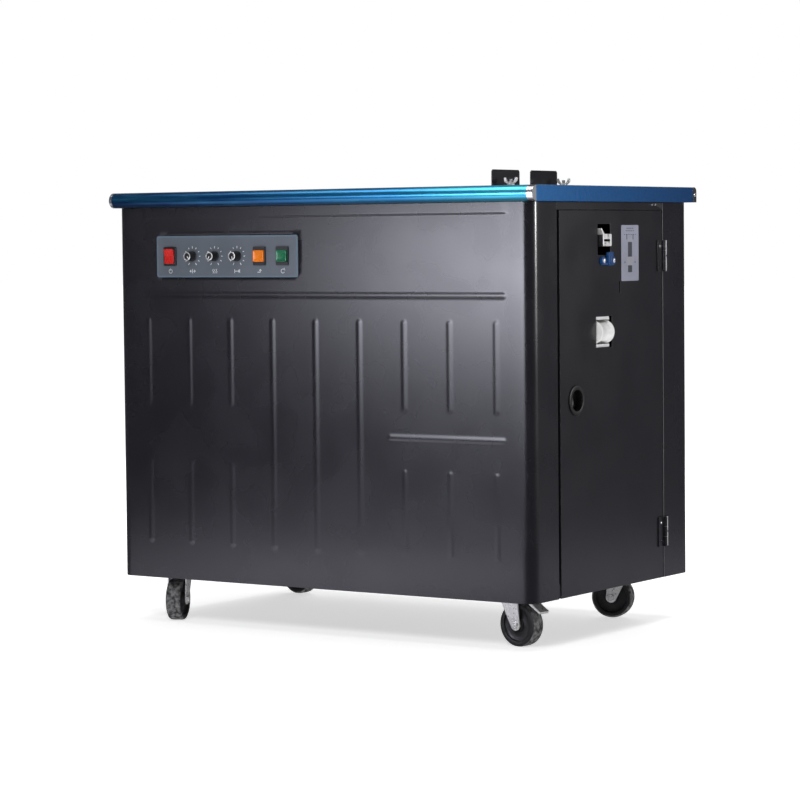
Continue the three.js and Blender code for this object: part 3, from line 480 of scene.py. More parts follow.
def smoothstep(edge0, edge1, value):
    t = min(1.0, max(0.0, (value - edge0) / (edge1 - edge0)))
    return t * t * (3 - 2 * t)


# ------ cabinet panels
SHEET = 1.5 * MM
RIM = 0.5 * MM
RIB_HALF = 8.0 * MM
RIB_HEIGHT = 0.75 * MM
NEAR_RIB = [offset * MM for offset in (-9, -8, -6.5, -5, -3.5, -2, -0.7, 0.7, 2, 3.5, 5, 6.5, 8, 9)]


def front_ribs():
    """Pressed ribs as (x0, z0, x1, z1) in the front plane."""
    low, high = 151 * MM, 545 * MM
    lower_top, upper_bottom = 290 * MM, 400 * MM
    across = ((-380, 592, 379), (151, 350, 378))
    ribs = [(x0 * MM, z * MM, x1 * MM, z * MM) for x0, z, x1 in across]
    for side in range(-4, 5):
        x = (-4.4 + side * 92.2) * MM
        if abs(side) <= 1:
            ribs.append((x, low, x, high))
        else:
            ribs += [(x, low, x, lower_top), (x, upper_bottom, x, high)]
    return ribs


def rib_height(ribs, x, z):
    height = 0.0
    for x0, z0, x1, z1 in ribs:
        px, pz = min(max(x, x0), x1), min(max(z, z0), z1)
        away = math.hypot(x - px, z - pz) / RIB_HALF
        if away < 1:
            height = max(height, RIB_HEIGHT * 0.5 * (1 + math.cos(math.pi * away)))
    return height


def wrapped_panel(node, relief, x_lines, z_lines, holes, facing, corner):
    """A sheet bent round both vertical corners; facing is -1 for the front and 1 for the back."""
    low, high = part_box(node)
    plane = CABINET_HALF_Y * facing
    end = high.y if facing < 0 else low.y
    arc_y = plane - facing * corner
    side = [(low.x, end + (arc_y - end) * along, -1, 0) for along in (0, 0.01, 0.25, 0.5, 0.75)]
    for i in range(13):
        angle = math.pi / 2 * i / 12
        nx, ny = -math.cos(angle), facing * math.sin(angle)
        side.append((low.x + corner + nx * corner, arc_y + ny * corner, nx, ny))
    reach = corner + 0.5 * MM
    columns = side + [(x, plane, 0, facing) for x in x_lines if low.x + reach < x < high.x - reach]
    columns += [(low.x + high.x - x, y, -nx, ny) for x, y, nx, ny in reversed(side)]
    bm = bmesh.new()
    rows = []
    for z in z_lines:
        row = []
        for x, y, nx, ny in columns:
            out = relief(x, z) if nx == 0 else 0.0
            row.append(bm.verts.new((x + nx * out, y + ny * out, z)))
        rows.append(row)
    for i in range(len(rows) - 1):
        for j in range(len(columns) - 1):
            corners = (rows[i][j], rows[i][j + 1], rows[i + 1][j + 1], rows[i + 1][j])
            middle = sum((v.co for v in corners), Vector()) / 4
            flat = abs(middle.y) > CABINET_HALF_Y - 4 * MM
            if flat and any(x0 < middle.x < x1 and z0 < middle.z < z1 for x0, x1, z0, z1 in holes):
                continue
            bm.faces.new(corners if facing < 0 else corners[::-1])
    piece = stand_in(node, "pressed", bm, [PAINT], sharp=50)
    sheet = piece.modifiers.new("sheet", "SOLIDIFY")
    sheet.thickness = SHEET
    sheet.offset = -1


def front_panel():
    low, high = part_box("front_panel")
    ribs = front_ribs()
    step_x0, step_x1, step_z, step_out = -380 * MM, 385 * MM, 729.5 * MM, 1.1 * MM
    plate_low, plate_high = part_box("control_plate")
    margin = 8 * MM
    hole = (plate_low.x + margin, plate_high.x - margin, plate_low.z + margin, plate_high.z - margin)

    def relief(x, z):
        starts = smoothstep(step_x0 - 4 * MM, step_x0 + 4 * MM, x)
        stops = 1 - smoothstep(step_x1 - 10 * MM, step_x1 + 8 * MM, x)
        step = step_out * smoothstep(step_z - 3 * MM, step_z + 1.5 * MM, z) * starts * stops
        return rib_height(ribs, x, z) + step

    x_spots = [hole[0], hole[1]] + [step_x1 + k * 3 * MM for k in range(-4, 4)]
    z_spots = [hole[2], hole[3], low.z + RIM, high.z - RIM] + [step_z + k * MM for k in range(-4, 4)]
    for x0, z0, x1, z1 in ribs:
        x_spots += [x + offset for x in (x0, x1) for offset in NEAR_RIB]
        z_spots += [z + offset for z in (z0, z1) for offset in NEAR_RIB]
    x_lines = grid_lines(low.x, high.x, x_spots)
    z_lines = grid_lines(low.z, high.z, z_spots)
    wrapped_panel("front_panel", relief, x_lines, z_lines, [hole], -1, 22 * MM)


def rear_panel():
    """Each louvre's hood covers its slot and opens underneath."""
    low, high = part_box("rear_panel")
    half, centre, lowest, pitch = 60 * MM, 230 * MM, 552 * MM, 20 * MM
    step, tall, out = 0.8 * MM, 14 * MM, 4.5 * MM
    levels = [lowest + pitch * i for i in range(6)]
    hoods = [(x - half, x + half, z) for x in (-centre, centre) for z in levels]
    openings = [(x0, x1, z - step, z) for x0, x1, z in hoods]

    def relief(x, z):
        height = 0.0
        for x0, x1, z0 in hoods:
            if z0 - 1e-5 <= z < z0 + tall:
                starts = smoothstep(x0 - 4 * MM, x0 + 6 * MM, x)
                stops = 1 - smoothstep(x1 - 6 * MM, x1 + 4 * MM, x)
                fades = 1 - smoothstep(z0 + 2 * MM, z0 + tall, z)
                height = max(height, out * starts * stops * fades)
        return height

    x_spots = [x + k * 2 * MM for x0, x1, _ in hoods for x in (x0, x1) for k in range(-3, 4)]
    rises = [-step, tall] + [up * MM for up in (0, 2, 4.5, 7, 9.5, 12)]
    z_spots = [z0 + up for _, _, z0 in hoods for up in rises]
    z_spots += [low.z + RIM, high.z - RIM]
    x_lines = grid_lines(low.x, high.x, x_spots)
    z_lines = grid_lines(low.z, high.z, z_spots)
    wrapped_panel("rear_panel", relief, x_lines, z_lines, openings, 1, 5 * MM)


# ------ table edges
def profile_bar(name, node, outline, material_of_x, materials, x_lines):
    """A bar along X; outline is (y, z) points, and material_of_x picks the finish of each stretch."""
    bm = bmesh.new()
    rings = [[bm.verts.new((x, y, z)) for y, z in outline] for x in x_lines]
    for x, a, b in zip(x_lines, rings, rings[1:]):
        for i in range(len(outline)):
            j = (i + 1) % len(outline)
            face = bm.faces.new((a[i], a[j], b[j], b[i]))
            face.material_index = material_of_x(x)
    for ring in (rings[0], rings[-1]):
        bm.faces.new(ring).material_index = len(materials) - 1
    finish_piece(name, bm, materials, BODY_OF[node], (node,), sharp=40, bevel=0.35 * MM)


def front_trim():
    low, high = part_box("front_edge_trim")
    radius = high.y - low.y
    middle = (low.z + high.z) / 2
    half = (high.z - low.z) / 2
    angles = [math.pi * i / 28 for i in range(29)]
    outline = [(high.y - radius * math.sin(a), middle + half * math.cos(a)) for a in angles]
    bare = 12 * MM
    x_lines = grid_lines(low.x, high.x, [high.x - bare, low.x + 6 * MM], 40 * MM)

    def finish_at(x):
        return 1 if x >= high.x - bare - 1e-6 or x < low.x + 5 * MM else 0

    profile_bar("front_edge_nosing", "front_edge_trim", outline, finish_at,
                [FINISH["blue_film"], BARE, END_GREY], x_lines)


def rear_trim():
    low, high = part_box("rear_edge_trim")
    radius = 8 * MM
    outline = [(low.y, low.z), (high.y, low.z)]
    for c, s in arc(radius, 0.0, math.pi / 2, 10):
        outline.append((high.y - radius + c, high.z - radius + s))
    outline.append((low.y, high.z))
    profile_bar("rear_edge_nosing", "rear_edge_trim", outline, lambda x: 0, [SIDE_TRIM_FILM_PAINTED_SHADE, END_DARK],
                grid_lines(low.x, high.x, [], 60 * MM))
    for name, x, turn in (("left", low.x, -1), ("right", high.x, 1)):
        place = axes_to((x, (low.y + high.y) / 2, (low.z + high.z) / 2), Y * turn, Z)
        screw_head(f"rear_edge_screw_{name}", place, "cabinet", 3.4 * MM)


# ------ control plate
def control_plate():
    low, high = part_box("control_plate")
    middle = centre_of("control_plate")
    place = facing_front(middle.x, high.y, middle.z)
    half_u, half_v = (high.x - low.x) / 2, (high.z - low.z) / 2
    bm = bmesh.new()
    front = add_prism(bm, rounded_rect(half_u, half_v, 4 * MM), 0, high.y - low.y, place)
    bmesh.ops.recalc_face_normals(bm, faces=bm.faces)
    bmesh.ops.inset_region(bm, faces=[front], thickness=0.6 * MM, use_even_offset=True)
    ring = bmesh.ops.inset_region(bm, faces=[front], thickness=2.2 * MM, use_even_offset=True)
    for face in ring["faces"]:
        face.material_index = 1
    stand_in("control_plate", "printed", bm, [FINISH["slate"], BORDER], sharp=40)


def strokes(name, lines, x, z, width):
    """Printed line work: each line is a list of (right, up) points in millimetres from (x, z)."""
    bm = bmesh.new()
    place = facing_front(x, PLATE_FACE, z)
    for line in lines:
        for (u0, v0), (u1, v1) in zip(line, line[1:]):
            a, b = Vector((u0 * MM, v0 * MM)), Vector((u1 * MM, v1 * MM))
            along = (b - a).normalized() * width / 2
            side = Vector((-along.y, along.x))
            box = [a - along - side, b + along - side, b + along + side, a - along + side]
            add_prism(bm, [tuple(p) for p in box], 0.02 * MM, 0.14 * MM, place)
    finish_piece(name, bm, [WHITE_INK], "cabinet")


def arc_line(radius, start, stop):
    return arc(radius, math.radians(start), math.radians(stop - start), 9)


SYMBOLS = {
    "rocker_switch_body": [arc_line(3.6, 125, 415), [(0, 1.2), (0, 4.6)]],
    "tension_knob": [[(-6, 0), (-2, 0)], [(2, 0), (6, 0)], [(-4, 2), (-6, 0), (-4, -2)],
                     [(4, 2), (6, 0), (4, -2)], [(0, -3.4), (0, 3.4)]],
    "heat_knob": [[(x, -3.5), (x + 1, -1.2), (x - 0.6, 1), (x + 0.6, 3.5)] for x in (-4, 0, 4)],
    "feed_length_knob": [[(-5.5, -3), (-5.5, 3)], [(5.5, -3), (5.5, 3)], [(-4.5, 0), (4.5, 0)],
                         [(2.6, 1.8), (4.6, 0), (2.6, -1.8)]],
    "feed_button": [[(-5, -2), (1, -2), (1, 2.6)], [(-1.2, 0.8), (1, 3.2), (3.2, 0.8)]],
    "reset_button": [arc_line(3.6, 60, 330), [(4.6, 1.6), (1.8, 3.1), (3.6, 5.2)]],
}


def plate_print():
    symbol_z = centre_of("control_plate").z - 26 * MM
    for node, lines in SYMBOLS.items():
        strokes(f"symbol_{node}", lines, centre_of(node).x, symbol_z, 0.8 * MM)
    for node in ("tension_knob", "heat_knob", "feed_length_knob"):
        middle = centre_of(node)
        ticks = []
        for i in range(11):
            angle = math.radians(240 - 30 * i)
            reach = (14.2, 17.4) if i % 5 == 0 else (15.2, 17.2)
            ticks.append([(r * math.cos(angle), r * math.sin(angle)) for r in reach])
        strokes(f"dial_scale_{node}", ticks, middle.x, middle.z, 1.0 * MM)


def dial_knob(node):
    middle = centre_of(node)
    depth = PLATE_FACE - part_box(node)[0].y
    radius = 8.5 * MM
    bm = bmesh.new()
    place = facing_front(middle.x, PLATE_FACE, middle.z)
    count, flutes, dip = 96, 16, 0.45 * MM
    sections = [(1.1, 0.3 * MM, 0), (1.1, 1.6 * MM, 0), (1.0, 2.4 * MM, 1), (1.0, depth - 1.6 * MM, 1),
                (0.96, depth - 0.9 * MM, 0.3), (0.9, depth - 0.2 * MM, 0), (0.84, depth, 0)]
    outlines = []
    for scale, height, fluted in sections:
        points = []
        for i in range(count):
            angle = 2 * math.pi * i / count
            r = radius * scale - fluted * dip * (0.5 + 0.5 * math.cos(flutes * angle))
            points.append((r * math.cos(angle), r * math.sin(angle)))
        outlines.append((points, height))
    add_loft(bm, outlines, place)
    turn = math.radians({"tension_knob": 225, "heat_knob": 150, "feed_length_knob": 200}[node])
    body = BODY_OF[node]
    stand_in(node, "fluted", bm, sharp=38)
    inner, outer = 5.9 * MM, 7.5 * MM
    profile = [(inner, depth - 0.1 * MM), (outer, depth - 0.15 * MM), (outer, depth + 0.25 * MM),
               (inner, depth + 0.3 * MM)]
    finish_piece(f"{node}_ring", lathed(profile, 64, place), [SILVER], body, slot="zinc")
    aim = place @ Matrix.Rotation(turn, 4, "Z")
    half, near, far = 0.6 * MM, 0.5 * MM, 6.2 * MM
    outline = [(-half, near), (half, near), (half, far), (-half, far)]
    pointer = pushed(outline, depth - 0.05 * MM, depth + 0.2 * MM, aim)
    finish_piece(f"{node}_pointer", pointer, [WHITE_INK], body)


def push_button(node):
    """A square cap with soft corners and a shallow dish in its face."""
    low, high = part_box(node)
    middle = centre_of(node)
    half_u, half_v = (high.x - low.x) / 2, (high.z - low.z) / 2
    depth = high.y - low.y
    place = facing_front(middle.x, high.y, middle.z)
    steps = [(0, 2.2, 0), (0, 2.2, 1.0), (0.2, 2.2, 0.45), (0.7, 2.0, 0.08), (1.5, 1.6, 0),
             (2.4, 1.2, 0.25), (4.5, 0.9, 0.55)]
    outlines = []
    for index, (inset, radius, sunk) in enumerate(steps):
        height = 0 if index == 0 else depth - sunk * MM
        outlines.append((rounded_rect(half_u - inset * MM, half_v - inset * MM, radius * MM), height))
    bm = bmesh.new()
    add_loft(bm, outlines, place)
    stand_in(node, "cap", bm, sharp=50)


# ------ door details
def finger_cup():
    low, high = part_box("finger_cup")
    middle = centre_of("finger_cup")
    ring, bore = (high.y - low.y) / 2, 18 * MM
    face = high.x - low.x
    profile = [
        (0, 0), (bore + 1.2 * MM, 0), (bore + 1.5 * MM, 1 * MM), (bore + 1.5 * MM, face - 2.2 * MM),
        (ring - 0.4 * MM, face - 2.2 * MM), (ring, face - 1.8 * MM), (ring, face - 1.1 * MM),
        (ring - 1.2 * MM, face - 0.2 * MM), (ring - 3 * MM, face), (bore + 2 * MM, face),
        (bore + 0.5 * MM, face - 0.5 * MM), (bore, face - 1.6 * MM), (bore - 0.4 * MM, 3 * MM),
        (bore - 2.2 * MM, 1.5 * MM), (0, 1.5 * MM),
    ]
    bm = lathed(profile, 96, facing_right(low.x, middle.y, middle.z))
    stand_in("finger_cup", "moulded", bm, [CUP_BLACK], sharp=40)


def screw_head(name, place, body, radius=3.2 * MM, material=None):
    """A domed head with a cross recess; local Z points out of the surface."""
    dome = [(0, 0), (radius, 0), (radius, 0.5 * MM), (radius * 0.8, 1.3 * MM), (radius * 0.45, 1.7 * MM),
            (0, 1.8 * MM)]
    finish_piece(name, lathed(dome, 32, place), [material or SILVER], body, slot="zinc", sharp=40)
    cross = bmesh.new()
    arm, half = radius * 0.55, radius * 0.11
    for long_u, long_v in ((arm, half), (half, arm)):
        outline = [(-long_u, -long_v), (long_u, -long_v), (long_u, long_v), (-long_u, long_v)]
        add_prism(cross, outline, 1.0 * MM, 1.86 * MM, place)
    finish_piece(f"{name}_recess", cross, [FINISH["black_plastic"]], body, slot="black_plastic")


def hinge_leaf(node, half_z, knuckles, plate_y, tab_y):
    """One leaf: a rounded plate, its knuckles round the pin, and two countersunk screws."""
    pin = Vector(JOINT["door_hinge"]["pos_m"])
    low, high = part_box(node)
    radius, edge, thick = 3.6 * MM, 0.4 * MM, 2.0 * MM
    face = low.x
    bm = bmesh.new()
    middle_y = sum(plate_y) / 2
    middle_z = (low.z + high.z) / 2
    plate = facing_right(face, middle_y, middle_z)
    add_prism(bm, rounded_rect(abs(plate_y[1] - plate_y[0]) / 2, half_z, 2 * MM), 0, thick, plate)
    for z0, z1 in knuckles:
        tab = facing_right(face, sum(tab_y) / 2, (z0 + z1) / 2)
        half, tall = abs(tab_y[1] - tab_y[0]) / 2, (z1 - z0) / 2
        add_prism(bm, [(-half, -tall), (half, -tall), (half, tall), (-half, tall)], 0, thick, tab)
        rounded = [(0, z0), (radius - edge, z0), (radius, z0 + edge), (radius, z1 - edge),
                   (radius - edge, z1), (0, z1)]
        add_lathe(bm, rounded, 40, Matrix.Translation((pin.x, pin.y, 0)))
    paint, body = FINISH["black_paint"], BODY_OF[node]
    stand_in(node, "formed", bm, sharp=40, bevel=0.35 * MM)
    for index, side in enumerate((-1, 1)):
        place = facing_right(face + thick - 0.6 * MM, middle_y, middle_z + side * half_z * 0.62)
        finish = SILVER if side > 0 and body == "door" else paint
        screw_head(f"{node}_screw_{index}", place, body, 2.6 * MM, finish)


def hinges():
    pin = Vector(JOINT["door_hinge"]["pos_m"])
    for name in ("upper", "lower"):
        low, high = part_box(f"{name}_hinge_door_leaf")
        half_z, third = (high.z - low.z) / 2, (high.z - low.z) / 3
        gap = 0.3 * MM
        outer = [(low.z, low.z + third - gap), (high.z - third + gap, high.z)]
        inner = [(low.z + third, high.z - third)]
        clear, near, reach = 4.2 * MM, 2 * MM, 6 * MM
        hinge_leaf(f"{name}_hinge_door_leaf", half_z, outer, (low.y, pin.y - clear),
                   (pin.y - reach, pin.y - near))
        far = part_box(f"{name}_hinge_frame_leaf")[1].y
        hinge_leaf(f"{name}_hinge_frame_leaf", half_z, inner, (pin.y + clear, far),
                   (pin.y + near, pin.y + reach))


def hinge_strips():
    """A near-white strip beside the knuckles of each frame leaf, broken in the middle: a painted highlight of the
    hinge.
    """
    pin = Vector(JOINT["door_hinge"]["pos_m"])
    for name in ("upper", "lower"):
        low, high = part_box(f"{name}_hinge_frame_leaf")
        bm = bmesh.new()
        reach = (high.z - low.z) / 4 - 1.2 * MM
        for side in (-1, 1):
            z = (low.z + high.z) / 2 + side * (high.z - low.z) / 4
            place = facing_right(low.x + 2.0 * MM, pin.y + 7.2 * MM, z)
            add_prism(bm, rounded_rect(1.9 * MM, reach, 1 * MM), 0, 2.2 * MM, place)
        finish_piece(f"{name}_hinge_painted_highlight", bm, [BRIGHT_EDGE], "cabinet", sharp=40,
                     bevel=0.9 * MM, segments=4)


def door_surround():
    """The hem of the rear panel's return in a lighter grey as a painted highlight, a black triangle in the
    header's open mitre as painted shade, and two screw tips.
    """
    rear_low, rear_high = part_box("rear_panel")
    hem = facing_right(DOOR_FACE, rear_low.y + 1 * MM, (rear_low.z + rear_high.z) / 2)
    half_z = (rear_high.z - rear_low.z) / 2 - 0.2 * MM
    bm = pushed(rounded_rect(1 * MM, half_z, 0.8 * MM, 3), -1.2 * MM, 0.6 * MM, hem)
    finish_piece("rear_return_hem", bm, [HEM_PAINTED_HIGHLIGHT], "cabinet", slot="black_paint", sharp=40,
                 bevel=0.5 * MM)
    header_low, header_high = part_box("door_header")
    corner = facing_right(header_high.x, header_high.y, header_low.z)
    inset, slope = 1 * MM, 40 * MM
    top = header_high.z - header_low.z - inset
    # Painted shade: a black triangle where the header's open mitre lies in shade.
    mitre = pushed([(-inset, inset), (-inset, top), (-slope, top)], 0.1 * MM, 0.4 * MM, corner)
    finish_piece("header_mitre_painted_shade", mitre, [MITRE_PAINTED_SHADE], "cabinet")
    for index in (0, 1):
        y = header_high.y - (26 + 12 * index) * MM
        place = facing_right(header_high.x + 0.3 * MM, y, header_high.z - 4 * MM)
        rounded = [(0, -1), (1.8, -1), (1.8, 1.0), (1.2, 1.6), (0, 1.8)]
        tip = lathed([(r * MM, h * MM) for r, h in rounded], 24, place)
        finish_piece(f"header_screw_tip_{index}", tip, [SILVER], "cabinet", slot="zinc")


def label():
    """A generic threading diagram: a strap band past two guides, under plain bars and dashes."""
    y0, y1, z0, z1 = 34 * MM, 95 * MM, 611 * MM, 708 * MM
    place = facing_right(DOOR_FACE, (y0 + y1) / 2, (z0 + z1) / 2)
    half_u, half_v = (y1 - y0) / 2, (z1 - z0) / 2
    sheet = pushed(rounded_rect(half_u, half_v, 2.5 * MM), 0.02 * MM, 0.25 * MM, place)
    finish_piece("threading_label", sheet, [LABEL_PAPER], "door")

    def panel(art, u, v, wide, tall, corner=0.4):
        spot = place @ Matrix.Translation((u * MM, v * MM, 0))
        outline = rounded_rect(wide / 2 * MM, tall / 2 * MM, corner * MM, 3)
        add_prism(art, outline, 0.25 * MM, 0.34 * MM, spot)

    art = bmesh.new()
    panel(art, 0, 4, 14, 30)
    panel(art, 0, -27, 14, 13)
    for side in (-1, 1):
        panel(art, side * 18, -16, 3, 3, 1.4)
        panel(art, side * 11, 28, 2, 9)
    for row, (dashes, v) in enumerate(((4, 43), (5, 38.5), (7, 32))):
        for i in range(dashes):
            panel(art, (i - (dashes - 1) / 2) * 6.4, v, 4.6 - row, 1.3)
    finish_piece("threading_label_strap", art, [LABEL_DARK], "door")
    guide = bmesh.new()
    for v, wide, tall in ((-14, 26, 15), (23, 17, 6)):
        spot = place @ Matrix.Translation((0, v * MM, 0))
        add_prism(guide, rounded_rect(wide / 2 * MM, tall / 2 * MM, 2.5 * MM), 0.34 * MM, 0.42 * MM, spot)
    finish_piece("threading_label_guides", guide, [LABEL_PALE], "door")


def guide_clip():
    """A moulded bar over the lower end of the guide window, with a screwed ear on each side."""
    low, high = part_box("guide_clip")
    thick = high.x - low.x
    ear_z = low.z + 8 * MM
    bar_y = high.y - 9 * MM
    bar = facing_right(low.x, bar_y, (low.z + high.z) / 2)
    bm = bmesh.new()
    half = (high.z - low.z) / 2
    add_prism(bm, rounded_rect(8 * MM, half, 2.5 * MM), 0, thick, bar)
    add_prism(bm, rounded_rect(2.4 * MM, half - 3 * MM, 1 * MM), thick, thick + 1.2 * MM, bar)
    shoulder, crown = thick - 1.4 * MM, thick - 0.6 * MM
    for index, ear_y in enumerate((low.y + 12 * MM, high.y + 1 * MM)):
        ear = facing_right(low.x, ear_y, ear_z)
        add_lathe(bm, [(3.2 * MM, 0), (7.2 * MM, 0), (7.2 * MM, shoulder), (6.2 * MM, crown),
                       (4 * MM, crown), (3.2 * MM, shoulder)], 40, ear)
        reach = abs(ear_y - bar_y) / 2
        web = facing_right(low.x, (ear_y + bar_y) / 2, ear_z - 5 * MM)
        add_prism(bm, rounded_rect(reach, 2.2 * MM, 1 * MM), 0, thick - 2 * MM, web)
        seat = facing_right(low.x + thick - 1 * MM, ear_y, ear_z)
        screw_head(f"guide_clip_screw_{index}", seat, "door", 3.9 * MM, BRIGHT_NUT)
    stand_in("guide_clip", "moulded", bm, sharp=40, bevel=0.5 * MM)


def strap_guide():
    """The bent guide, its mounting plate and the face under its lip given dark paint as painted shade, and a
    bright cut edge down its back side.
    """
    piece = refined("strap_inlet_guide", 0.5 * MM)
    piece.data.materials.append(FINISH["dark_paint"])
    low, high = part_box("strap_inlet_guide")
    # Painted shade: the mounting plate and the face under the lip take the dark paint.
    for face in piece.data.polygons:
        under_lip = face.normal.y < -0.9 and face.center.z < 694 * MM
        if face.center.x < low.x + 4.5 * MM or under_lip:
            face.material_index = 1
    place = facing_right(high.x, -13 * MM, 682.5 * MM)
    edge = pushed(rounded_rect(1.8 * MM, 10 * MM, 0.8 * MM), -0.3 * MM, 0.5 * MM, place)
    finish_piece("strap_guide_bright_edge", edge, [BRIGHT_EDGE], "cabinet", sharp=40, bevel=0.2 * MM)


def bracket_lips():
    """The bracket's bent lips, seen as pale bars above and below the roller."""
    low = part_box("roller_bracket")[0]
    wide = 46 * MM
    for index, z in enumerate((501.6 * MM, 548.9 * MM)):
        place = facing_right(430.2 * MM, low.y + wide / 2 + 1 * MM, z)
        bm = pushed(rounded_rect(wide / 2, 2.7 * MM, 0.8 * MM), 0, 1.2 * MM, place)
        finish_piece(f"roller_bracket_lip_{index}", bm, [BRIGHT_EDGE], "cabinet", sharp=40,
                     bevel=0.4 * MM)


def inlet_roller():
    low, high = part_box("inlet_roller")
    middle = centre_of("inlet_roller")
    flange, body, bore = 20 * MM, 16.5 * MM, 3.3 * MM
    half = (high.y - low.y) / 2
    upper = [(body, half - 6.5 * MM), (body + 0.6 * MM, half - 5.4 * MM), (flange, half - 2.4 * MM),
             (flange, half - 1 * MM), (flange - 1 * MM, half), (bore, half)]
    profile = [(r, -h) for r, h in reversed(upper)] + upper
    stand_in("inlet_roller", "turned", lathed(profile, 96, axes_to(middle, Z, X)), sharp=40)


# ------ casters
def caster_place(key):
    """Local X trails from the swivel axis, Z is up; the origin is on the floor under the swivel."""
    swivel = Vector(JOINT[f"swivel_{key}"]["pos_m"])
    axle = Vector(JOINT[f"wheel_spin_{key}"]["pos_m"])
    trail = Vector((axle.x - swivel.x, axle.y - swivel.y, 0))
    return axes_to((swivel.x, swivel.y, 0), trail, Z.cross(trail)), trail.length, axle.z


def caster_wheel(key):
    place, trail, radius = caster_place(key)
    upper = [
        (37.5, 8), (37, 11), (36, 12.6), (34.2, 13.4), (30, 13.5), (28.5, 13), (27, 10), (24, 8.6),
        (16, 8.6), (13, 9.5), (11, 13.8), (10, 14.5), (4.3, 14.5),
    ]
    profile = [(r * MM, -h * MM) for r, h in reversed(upper)] + [(r * MM, h * MM) for r, h in upper]
    spin = place @ axes_to((trail, 0, radius), (0, 0, 1), (1, 0, 0))
    bm = lathed(profile, 96, spin, lambda i: 1 if 10 <= i <= 15 else 0)
    stand_in(f"caster_wheel_{key}", "turned", bm, [FINISH["rubber"], TREAD], sharp=35)


def caster_fork(key):
    place, trail, radius = caster_place(key)
    bm = bmesh.new()
    inner, thick = 15.5 * MM, 2.5 * MM
    top, waist = 88.6 * MM, 79 * MM
    outline = [(-20 * MM, top), (-14 * MM, top - 5 * MM), (-6 * MM, waist)]
    round_axle = arc(9.5 * MM, 1.15 * math.pi, 0.83 * math.pi, 14)
    outline += [(trail + c, radius + s) for c, s in round_axle]
    outline += [(31 * MM, waist), (32 * MM, top - 4 * MM), (31 * MM, top)]
    for side in (-1, 1):
        y = side * (inner + thick / 2)
        cheek = place @ axes_to((0, y, 0), (1, 0, 0), (0, 0, 1))
        add_prism(bm, outline, -thick / 2, thick / 2, cheek)
    plate = [(u + 3.5 * MM, v) for u, v in rounded_rect(27 * MM, inner + thick, 5 * MM)]
    add_prism(bm, plate, 86 * MM, 88.8 * MM, place)
    race = [(0, 88.5), (22, 88.5), (26, 90), (27.4, 92.5), (26.5, 95.5), (24.5, 97), (24, 99.7),
            (0, 99.7)]
    add_lathe(bm, [(r * MM, h * MM) for r, h in race], 64, place)
    stand_in(f"caster_fork_{key}", "pressed", bm, sharp=38, bevel=0.5 * MM)
    axle = place @ axes_to((trail, 0, radius), (0, 0, 1), (1, 0, 0))
    reach = inner + thick
    shank = [(0, -reach - 4.4 * MM), (2.6 * MM, -reach - 4.4 * MM), (3.0 * MM, -reach - 3.6 * MM),
             (3 * MM, reach + 3.8 * MM), (0, reach + 4.2 * MM)]
    bolt = lathed(shank, 32, axle)
    hexagon = ring_points(6, 6.6 * MM)
    for low, high in ((-reach - 3.6 * MM, -reach - 0.1 * MM), (reach + 0.1 * MM, reach + 3.6 * MM)):
        add_prism(bolt, hexagon, low, high, axle)
    finish_piece(f"caster_axle_{key}", bolt, [SILVER], f"fork_{key}", slot="zinc", sharp=38,
                 bevel=0.4 * MM)


# ------ strap reel
def strap_reel():
    low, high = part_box("strap_reel")
    middle = centre_of("strap_reel")
    place = axes_to((low.x, middle.y, middle.z), Y, Z)
    width = high.x - low.x
    radius, drum, bore, flange = 200 * MM, 98 * MM, 12.3 * MM, 3 * MM
    shoulder, hub = radius - 2 * MM, bore + 8 * MM
    profile = [
        (bore, 0), (shoulder, 0), (radius, flange / 2), (shoulder, flange), (drum, flange),
        (drum, width - flange), (shoulder, width - flange), (radius, width - flange / 2),
        (shoulder, width), (drum - 4 * MM, width), (hub, 12 * MM), (hub, width), (bore, width),
    ]
    stand_in("strap_reel", "moulded", lathed(profile, 128, place), sharp=38)


# ------ everything together
def build_object():
    front_panel()
    rear_panel()
    front_trim()
    rear_trim()
    control_plate()
    plate_print()
    for node in ("tension_knob", "heat_knob", "feed_length_knob"):
        dial_knob(node)
    for node in ("feed_button", "reset_button"):
        push_button(node)
    refined("power_rocker", 0.8 * MM, 3)
    finger_cup()
    hinges()
    hinge_strips()
    door_surround()
    label()
    guide_clip()
    strap_guide()
    bracket_lips()
    inlet_roller()
    strap_reel()
    for key in ("fl", "fr", "rr", "rl"):
        caster_wheel(key)
        caster_fork(key)
    refined("side_door", 2.2 * MM, 4)
    refined("left_edge_trim", 1.0 * MM, 3, SIDE_TRIM_FILM_PAINTED_SHADE)
    refined("right_edge_trim", 1.0 * MM, 3, SIDE_TRIM_FILM_PAINTED_SHADE)
    for node in ("front_table_leaf", "rear_table_leaf"):
        refined(node, 0, material=TABLE_STEEL)
    for node in ("front_wing_nut", "rear_wing_nut"):
        refined(node, 0.5 * MM, 3, BRIGHT_NUT)
    for node, solid in frame["nodes"].items():
        if not solid.hide_render:
            refined(node)


# ------ stage
def area_light(name, place, target, size, power):
    data = bpy.data.lights.new(name, "AREA")
    data.shape = "RECTANGLE"
    data.size, data.size_y = size
    data.energy = power
    lamp = bpy.data.objects.new(name, data)
    bpy.context.scene.collection.objects.link(lamp)
    lamp.location = place
    lamp.rotation_euler = (Vector(target) - Vector(place)).to_track_quat("-Z", "Y").to_euler()
    lamp.visible_camera = False
    return lamp


def stage_piece(name, bm, material):
    mesh = bpy.data.meshes.new(name)
    bm.to_mesh(mesh)
    bm.free()
    mesh.materials.append(material)
    piece = bpy.data.objects.new(name, mesh)
    bpy.context.scene.collection.objects.link(piece)
    return piece


